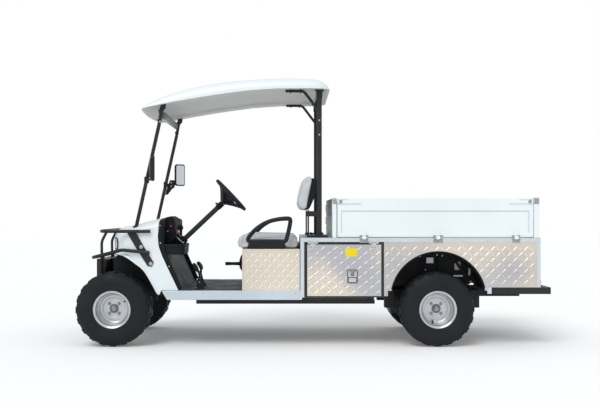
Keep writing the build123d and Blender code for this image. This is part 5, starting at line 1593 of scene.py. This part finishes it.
for hand, side in (("left", 1), ("right", -1)):
    door = bmesh.new()
    start_x, run_x = DOOR_START[side]
    add_tread(
        door, (start_x, side * DOOR_FACE, 392), (run_x, 0, 0), (0, 0, 366), DOOR_CELL,
        lambda u, v: 20 < u < 530 and 16 < v < 346
    )
    add_slabs(door, side, DOOR_SLABS, DOOR_FACE)
    barrel_place = (LATCH_X, side * DOOR_FACE, 543)
    add_lathe(door, KEY_BARREL, barrel_place, steps=28, finish_index=2, way=side)
    for rivet_x in (-329, -260):
        for rivet_z in (483, 574):
            place = (rivet_x, side * DOOR_FACE, rivet_z)
            add_lathe(door, LATCH_RIVET, place, steps=12, finish_index=3, way=side)
    for rivet_x in (-463, -445, -12, 10):
        add_lathe(door, STRAP_RIVET, (rivet_x, side * DOOR_FACE, 744), steps=12, finish_index=2, way=side)
    sealed(door)
    finishes = [bar_bright, label_yellow, latch_dark, hinge_grey]
    mount(f"locker_door_{hand}_trim", door, finishes, f"locker_door_{hand}", smooth=25)
body_trim = bmesh.new()
for side in (1, -1):
    add_slabs(body_trim, side, BODY_SLABS)
    for screw_x in (30, -150, -650, -760, -1120, -1300, -1600):
        add_lathe(body_trim, EDGE_SCREW, (screw_x, side * 606, 790), steps=14, finish_index=2, way=side)
sealed(body_trim)
finishes = [bright_angle, seal_rubber, steel_bright]
mount("body_edge_trim", body_trim, finishes, "cart", smooth=25, edge=0.7)

# ---------------------------------------------------------------- skirts and deck
# Tread plate skirts close the body from the lockers to the tail, cut round the rear wheels. Black moulded
# liners stand inside the arches, and brackets, a mud plate and wiring boxes hang on the frame behind them.
SKIRT_FACE = 606
SKIRT_LOW = 380
SKIRT_START = {1: (-530, -1168), -1: (-1698, 1168)}
SKIRT_CELL = (83, 83)
ARCH_CENTRE = (-936, 354)
# The arch edging's section, as its radius from the arch's centre and its depth from the middle of the cart.
ARCH_LIP = (
    (352, 591.5), (352, 607), (355, 608.1), (359, 608.1), (361.5, 606.7), (361.5, 605.7), (356, 605.7),
    (356, 591.5),
)
# Wiring boxes, the strut and the bracket on the inner wall of the arch.
ARCH_SLABS = (
    ((-940, -886), (335, 350), (612, 655), 1), ((-1000, -972), (335, 350), (560, 660), 0),
    ((-1150, -1104), (335, 350), (560, 622), 2), ((-1168, -1094), (335, 350), (508, 520), 1),
    ((-1225, -1212), (335, 350), (520, 584), 1),
)
MUD_PLATE = ((-1050, 690), (-1076, 684), (-1172, 560), (-1222, 452), (-1200, 444), (-1150, 552))
ARCH_BOLTS = ((-836, 664), (-970, 676), (-1010, 670), (-880, 560), (-1232, 470))


def on_skirt(x, z):
    """Room for a bar on the skirt: inside its outline, clear of the wheel arch and the edge trim."""
    low = 402 if x > ARCH_CENTRE[0] else 464
    gap = hypot(x - ARCH_CENTRE[0], z - ARCH_CENTRE[1])
    return -1656 < x < -546 and low < z < 768 and gap > 374


def round_arch(radius, angle):
    """A place round the wheel arch, as (x, z)."""
    return ARCH_CENTRE[0] + radius * cos(radians(angle)), ARCH_CENTRE[1] + radius * sin(radians(angle))


skirt_bars = bmesh.new()
for side, (start_x, run_x) in SKIRT_START.items():
    way = run_x / abs(run_x)
    add_tread(
        skirt_bars, (start_x, side * SKIRT_FACE, SKIRT_LOW), (run_x, 0, 0), (0, 0, 404), SKIRT_CELL,
        lambda u, v: on_skirt(start_x + way * u, SKIRT_LOW + v)
    )
add_tread(
    skirt_bars, (-1698, 585, 445), (0, -1170, 0), (0, 0, 362), SKIRT_CELL,
    lambda u, v: 20 < u < 1150 and 66 < v < 344
)
sealed(skirt_bars)
mount("skirt_tread", skirt_bars, bar_bright, "cart", smooth=20)
deck_bars = bmesh.new()
add_tread(
    deck_bars, (-1650, -556, 818), (1468, 0, 0), (0, 1112, 0), SKIRT_CELL,
    lambda u, v: 14 < u < 1454 and 14 < v < 1098
)
sealed(deck_bars)
mount("bed_floor_tread", deck_bars, bar_bright, "cart", smooth=20)
liner_black = finish(
    "liner_black", (0.007, 0.008, 0.010), rough=0.6, mottle=0.2, patch=0.15, grain=0.5, dust=0.03,
    specular=0.2
)
board_cream = finish(
    "board_cream", (0.66, 0.62, 0.47), rough=0.55, mottle=0.1, patch=0.05, grain=0.2, dust=0.05
)
dress(liner_black, 1.5, "arch_liners")
arch_bits = bmesh.new()
for side in (1, -1):
    rings = []
    for step in range(49):
        ring = []
        for radius, y in ARCH_LIP:
            x, z = round_arch(radius, 12.5 + 153 * step / 48)
            ring.append(arch_bits.verts.new((x, side * y, z)))
        rings.append(ring)
    join_rings(arch_bits, rings, capped=True)
    add_plate(arch_bits, side, [round_arch(357, angle) for angle in range(13, 168, 5)], (332, 335.5))
    add_slabs(arch_bits, side, ARCH_SLABS)
    add_plate(arch_bits, side, MUD_PLATE, (352, 362))
    for bolt_x, bolt_z in ARCH_BOLTS:
        add_bolt(arch_bits, (bolt_x, side * 336, bolt_z), OUTWARD[side], 4.5, 1)
sealed(arch_bits)
finishes = [liner_black, hinge_grey, board_cream]
mount("arch_edging", arch_bits, finishes, "cart", smooth=30, edge=0.8, segments=1)

# ---------------------------------------------------------------- tail
# A bolted step of rectangular tube stands behind the tail, with a hitch pin hole. Red lamps with ribbed
# lenses are screwed to the rear panel.
TAIL_FACE = -1698
LAMP_HEIGHT = 477.5
LENS_STEPS = ((0, 0), (-5.5, 0), (-8, 1.2), (-9.8, 4))
LENS_SCREW = ((7.5, 3.2), (9.4, 2.8), (9.8, 1))
dress(guard_black, 1.8, "rear_step")
lens_red = finish(
    "lens_red", (0.40, 0.010, 0.012), rough=0.16, mottle=0.08, patch=0.05, grain=0.05, grain_size=0.001,
    dust=0.02, coat=0.5, shader={"IOR": 1.5}
)
tail = bmesh.new()
for side in (1, -1):
    low, high = sorted((side * 480, side * 585))
    middle_y = (low + high) / 2
    loop = rounded_loop(low, high, 455, 500, (8, 8, 8, 8), 5)
    rings = []
    for depth, draw in LENS_STEPS:
        ring = []
        for y, z in loop:
            lens_y = middle_y + (y - middle_y) * (1 - draw / 60)
            lens_z = LAMP_HEIGHT + (z - LAMP_HEIGHT) * (1 - draw / 26)
            ring.append(tail.verts.new((TAIL_FACE + depth, lens_y, lens_z)))
        rings.append(ring)
    join_rings(tail, rings, capped=True)
    for rib in range(11):
        rib_y = low + 12 + rib * (high - low - 24) / 10
        add_box(tail, (-1708.6, -1706.5), (rib_y - 1.6, rib_y + 1.6), (461, 494))
    for screw_y in (low + 5, high - 5):
        add_lathe(tail, LENS_SCREW, (TAIL_FACE, screw_y, LAMP_HEIGHT), "X", 12, finish_index=1, way=-1)
sealed(tail)
mount("tail_lamp_lenses", tail, [lens_red, steel_bright], "cart", ["tail_lamps"], smooth=35)

# ---------------------------------------------------------------- cargo bed
# The bed's sides are extruded aluminium frames round an inset ribbed panel, all powder coated off-white.
# Each side and the tailgate drop on three ribbed aluminium hinges and close on spring latches at the corner
# posts.
RIB_LEVELS = (871, 914, 957)
HINGE_SPOTS = ((-413, -349), (-970, -897), (-1544, -1487))
# Painted shade: grey lines round the inset panel and a grey strip up its front end stand for the shadow in
# its grooves and front gap, with depths from the middle of the cart.
PANEL_GROOVES = (
    ((-1612, -212), (599.4, 600.5), (1014.6, 1017.4), 2), ((-214.4, -212), (599.4, 600.5), (852, 1017), 2),
    ((-1613, -1610.6), (599.4, 600.5), (852, 1017), 2), ((-185.5, -182.4), (575, 600.8), (826, 1106), 2),
)
PANEL_RIBS = [((-1608, -216), (593, 594.6), (level, level + 15), 0) for level in RIB_LEVELS]
LEVERS = (
    ((-356, 1083), (-352, 1091), (-240, 1098), (-186, 1098), (-186, 1070), (-240, 1073), (-352, 1080)),
    (
        (-1465, 1082), (-1469, 1090), (-1560, 1098), (-1642, 1098), (-1642, 1072), (-1560, 1074),
        (-1469, 1079),
    ),
)
LEVER_PIVOT = ((6, 15), (9, 14.5), (10.5, 12), (10, 9), (10.5, 6), (10.8, 2))
# Latch keepers and caps on the corner posts, and the two brackets of the headboard's end.
CORNER_SLABS = (
    ((-178, -150), (600, 604), (1068, 1104), 1), ((-1688, -1652), (600, 604), (1068, 1106), 1),
    ((-1690, -1650), (572, 602), (1109.5, 1113.5), 1), ((-176, -148), (572, 602), (1109.5, 1112.5), 1),
    ((-147, -141), (560, 568.6), (906, 966), 1), ((-147, -141), (560, 568.6), (1012, 1072), 1),
)
GATE_RIVET = ((3.6, 3.6), (5.6, 2.8), (6, 1))


def add_hinge(shape, side, spot, leaf, knuckles):
    """A hinge leaf with five knuckles, each given by its depth and its height ranges."""
    add_slabs(shape, side, [(spot, *leaf, 1)])
    for number in range(5):
        run = [spot[0] + (spot[1] - spot[0]) * (number + end) / 5 for end in (0.08, 0.92)]
        add_slabs(shape, side, [(run, *knuckles, 1)])


bed_white = finish(
    "bed_white", (0.86, 0.925, 0.94), rough=0.32, mottle=0.035, patch=0.5, grain=0.12, grain_size=0.0015,
    dust=0.02, coat=0.15
)
# Painted shade: the headboard is the bed's off-white paint coloured grey, for the shade on its face toward
# the seat.
bed_painted_shade = finish(
    "bed_painted_shade", (0.42, 0.44, 0.44), rough=0.42, mottle=0.08, patch=0.3, grain_size=0.0015, dust=0.04
)
latch_metal = finish(
    "latch_metal", (0.40, 0.425, 0.43), rough=0.34, patch=0.05, grain=0.2, grain_size=0.001, dust=0.03,
    metallic=0.8
)
groove_painted_shade = finish(
    "groove_painted_shade", (0.44, 0.47, 0.48), rough=0.5, mottle=0.05, patch=0.2, grain=0.1, dust=0.05
)
dress(bed_white, 2.2, "drop_side_left", "drop_side_right", "tailgate", "bed_posts")
dress(bed_painted_shade, 2.0, "headboard")
dress(latch_metal, 0.8, "bed_hinges")
finishes = [bed_white, latch_metal, groove_painted_shade]
for hand, side in (("left", 1), ("right", -1)):
    panel = bmesh.new()
    add_slabs(panel, side, [*PANEL_GROOVES, *PANEL_RIBS])
    for spot in HINGE_SPOTS:
        add_hinge(panel, side, spot, ((600, 604), (819, 834)), ((603.4, 605.2), (820, 833)))
    for lever in LEVERS:
        add_plate(panel, side, lever, (600, 606.5), 1)
    for pivot_x in (-208, -1618):
        add_lathe(panel, LEVER_PIVOT, (pivot_x, side * 600, 1085), steps=28, finish_index=1, way=side)
    sealed(panel)
    body = f"drop_side_{hand}"
    mount(f"{body}_trim", panel, finishes, body, smooth=30, edge=0.8, segments=1)
corner_bits = bmesh.new()
for side in (1, -1):
    add_slabs(corner_bits, side, CORNER_SLABS)
    for spot in HINGE_SPOTS:
        add_hinge(corner_bits, side, spot, ((606, 609.4), (778, 805)), ((609, 610.8), (779, 804)))
# Ribs across the headboard: the row toward the seat takes the grey painted shade, and the row toward the bed
# stays white.
for rib_z in (868, 930, 992, 1054):
    add_box(corner_bits, (-146.5, -142), (-556, 556), (rib_z, rib_z + 9), 0)
    add_box(corner_bits, (-174, -169.5), (-556, 556), (rib_z, rib_z + 9), 2)
sealed(corner_bits)
mount(
    "bed_corner_fittings", corner_bits, [bed_painted_shade, latch_metal, bed_white], "cart", smooth=30,
    edge=0.8, segments=1
)
gate = bmesh.new()
for level in RIB_LEVELS:
    add_box(gate, (-1691.6, -1689.4), (-520, 520), (level, level + 5.5))
# A grey line across the tailgate, painted shade for its groove.
add_box(gate, (-1690.6, -1689.4), (-524, 524), (1014.6, 1017.4), 2)
for hinge_y in (-380, 0, 380):
    add_box(gate, (-1694, -1690), (hinge_y - 34, hinge_y + 34), (828, 856), 1)
    for rivet_y in (hinge_y - 22, hinge_y + 22):
        add_lathe(gate, GATE_RIVET, (-1690, rivet_y, 844), "X", 12, finish_index=1, way=-1)
sealed(gate)
mount("tailgate_trim", gate, finishes, "tailgate", smooth=30, edge=0.8, segments=1)

# ---------------------------------------------------------------- studio
# The cart stands on a plain white floor in soft light from all round, with one large lamp high on its left.
# The floor keeps the cart's own shadow, and the camera sees it a little brighter than the lamp makes it.
FLOOR_REACH = 60
FLOOR_LIFT = 0.12
SKY_LIGHT = ((0.95, 0.975, 1.0, 1.0), 0.72)
SKY_SEEN = ((1.0, 1.0, 1.0, 1.0), 1.0)
floor_mesh = bpy.data.meshes.new("studio_floor")
corners = [(FLOOR_REACH * x, FLOOR_REACH * y, 0) for x, y in ((-1, -1), (1, -1), (1, 1), (-1, 1))]
floor_mesh.from_pydata(corners, [], [(0, 1, 2, 3)])
studio_floor = bpy.data.objects.new("studio_floor", floor_mesh)
bpy.context.collection.objects.link(studio_floor)
floor_white = bpy.data.materials.new("floor_white")
floor_white.use_nodes = True
floor_tree = floor_white.node_tree
floor_shader = floor_tree.nodes["Principled BSDF"]
floor_look = {
    "Base Color": (0.88, 0.88, 0.88, 1.0), "Roughness": 0.9, "Specular IOR Level": 0.0,
    "Emission Color": (1.0, 1.0, 1.0, 1.0),
}
for socket, value in floor_look.items():
    floor_shader.inputs[socket].default_value = value
seen = add_node(floor_tree, "LightPath")
shown = add_node(floor_tree, "Math", operation="MAXIMUM")
lift = add_node(floor_tree, "Math", {1: FLOOR_LIFT}, operation="MULTIPLY")
floor_tree.links.new(seen.outputs["Is Camera Ray"], shown.inputs[0])
floor_tree.links.new(seen.outputs["Is Glossy Ray"], shown.inputs[1])
floor_tree.links.new(shown.outputs[0], lift.inputs[0])
floor_tree.links.new(lift.outputs[0], floor_shader.inputs["Emission Strength"])
floor_mesh.materials.append(floor_white)

surround = bpy.data.worlds.new("surround")
bpy.context.scene.world = surround
surround.use_nodes = True
sky_tree = surround.node_tree
ray = add_node(sky_tree, "LightPath")
pick = add_node(sky_tree, "MixShader")
sky_tree.links.new(ray.outputs["Is Camera Ray"], pick.inputs[0])
skies = (sky_tree.nodes["Background"], add_node(sky_tree, "Background"))
for number, (sky, (colour, strength)) in enumerate(zip(skies, (SKY_LIGHT, SKY_SEEN))):
    sky.inputs["Color"].default_value = colour
    sky.inputs["Strength"].default_value = strength
    sky_tree.links.new(sky.outputs[0], pick.inputs[number + 1])
sky_tree.links.new(pick.outputs[0], sky_tree.nodes["World Output"].inputs["Surface"])

lamp_data = bpy.data.lights.new("high_left", "SUN")
lamp_data.angle = radians(30)
lamp_data.energy = 1.25
lamp = bpy.data.objects.new("high_left", lamp_data)
bpy.context.collection.objects.link(lamp)
lamp.rotation_euler = Vector((-0.35, -0.75, -1.0)).to_track_quat("-Z", "Y").to_euler()

bpy.context.scene.view_settings.view_transform = "Standard"
bpy.context.view_layer.update()
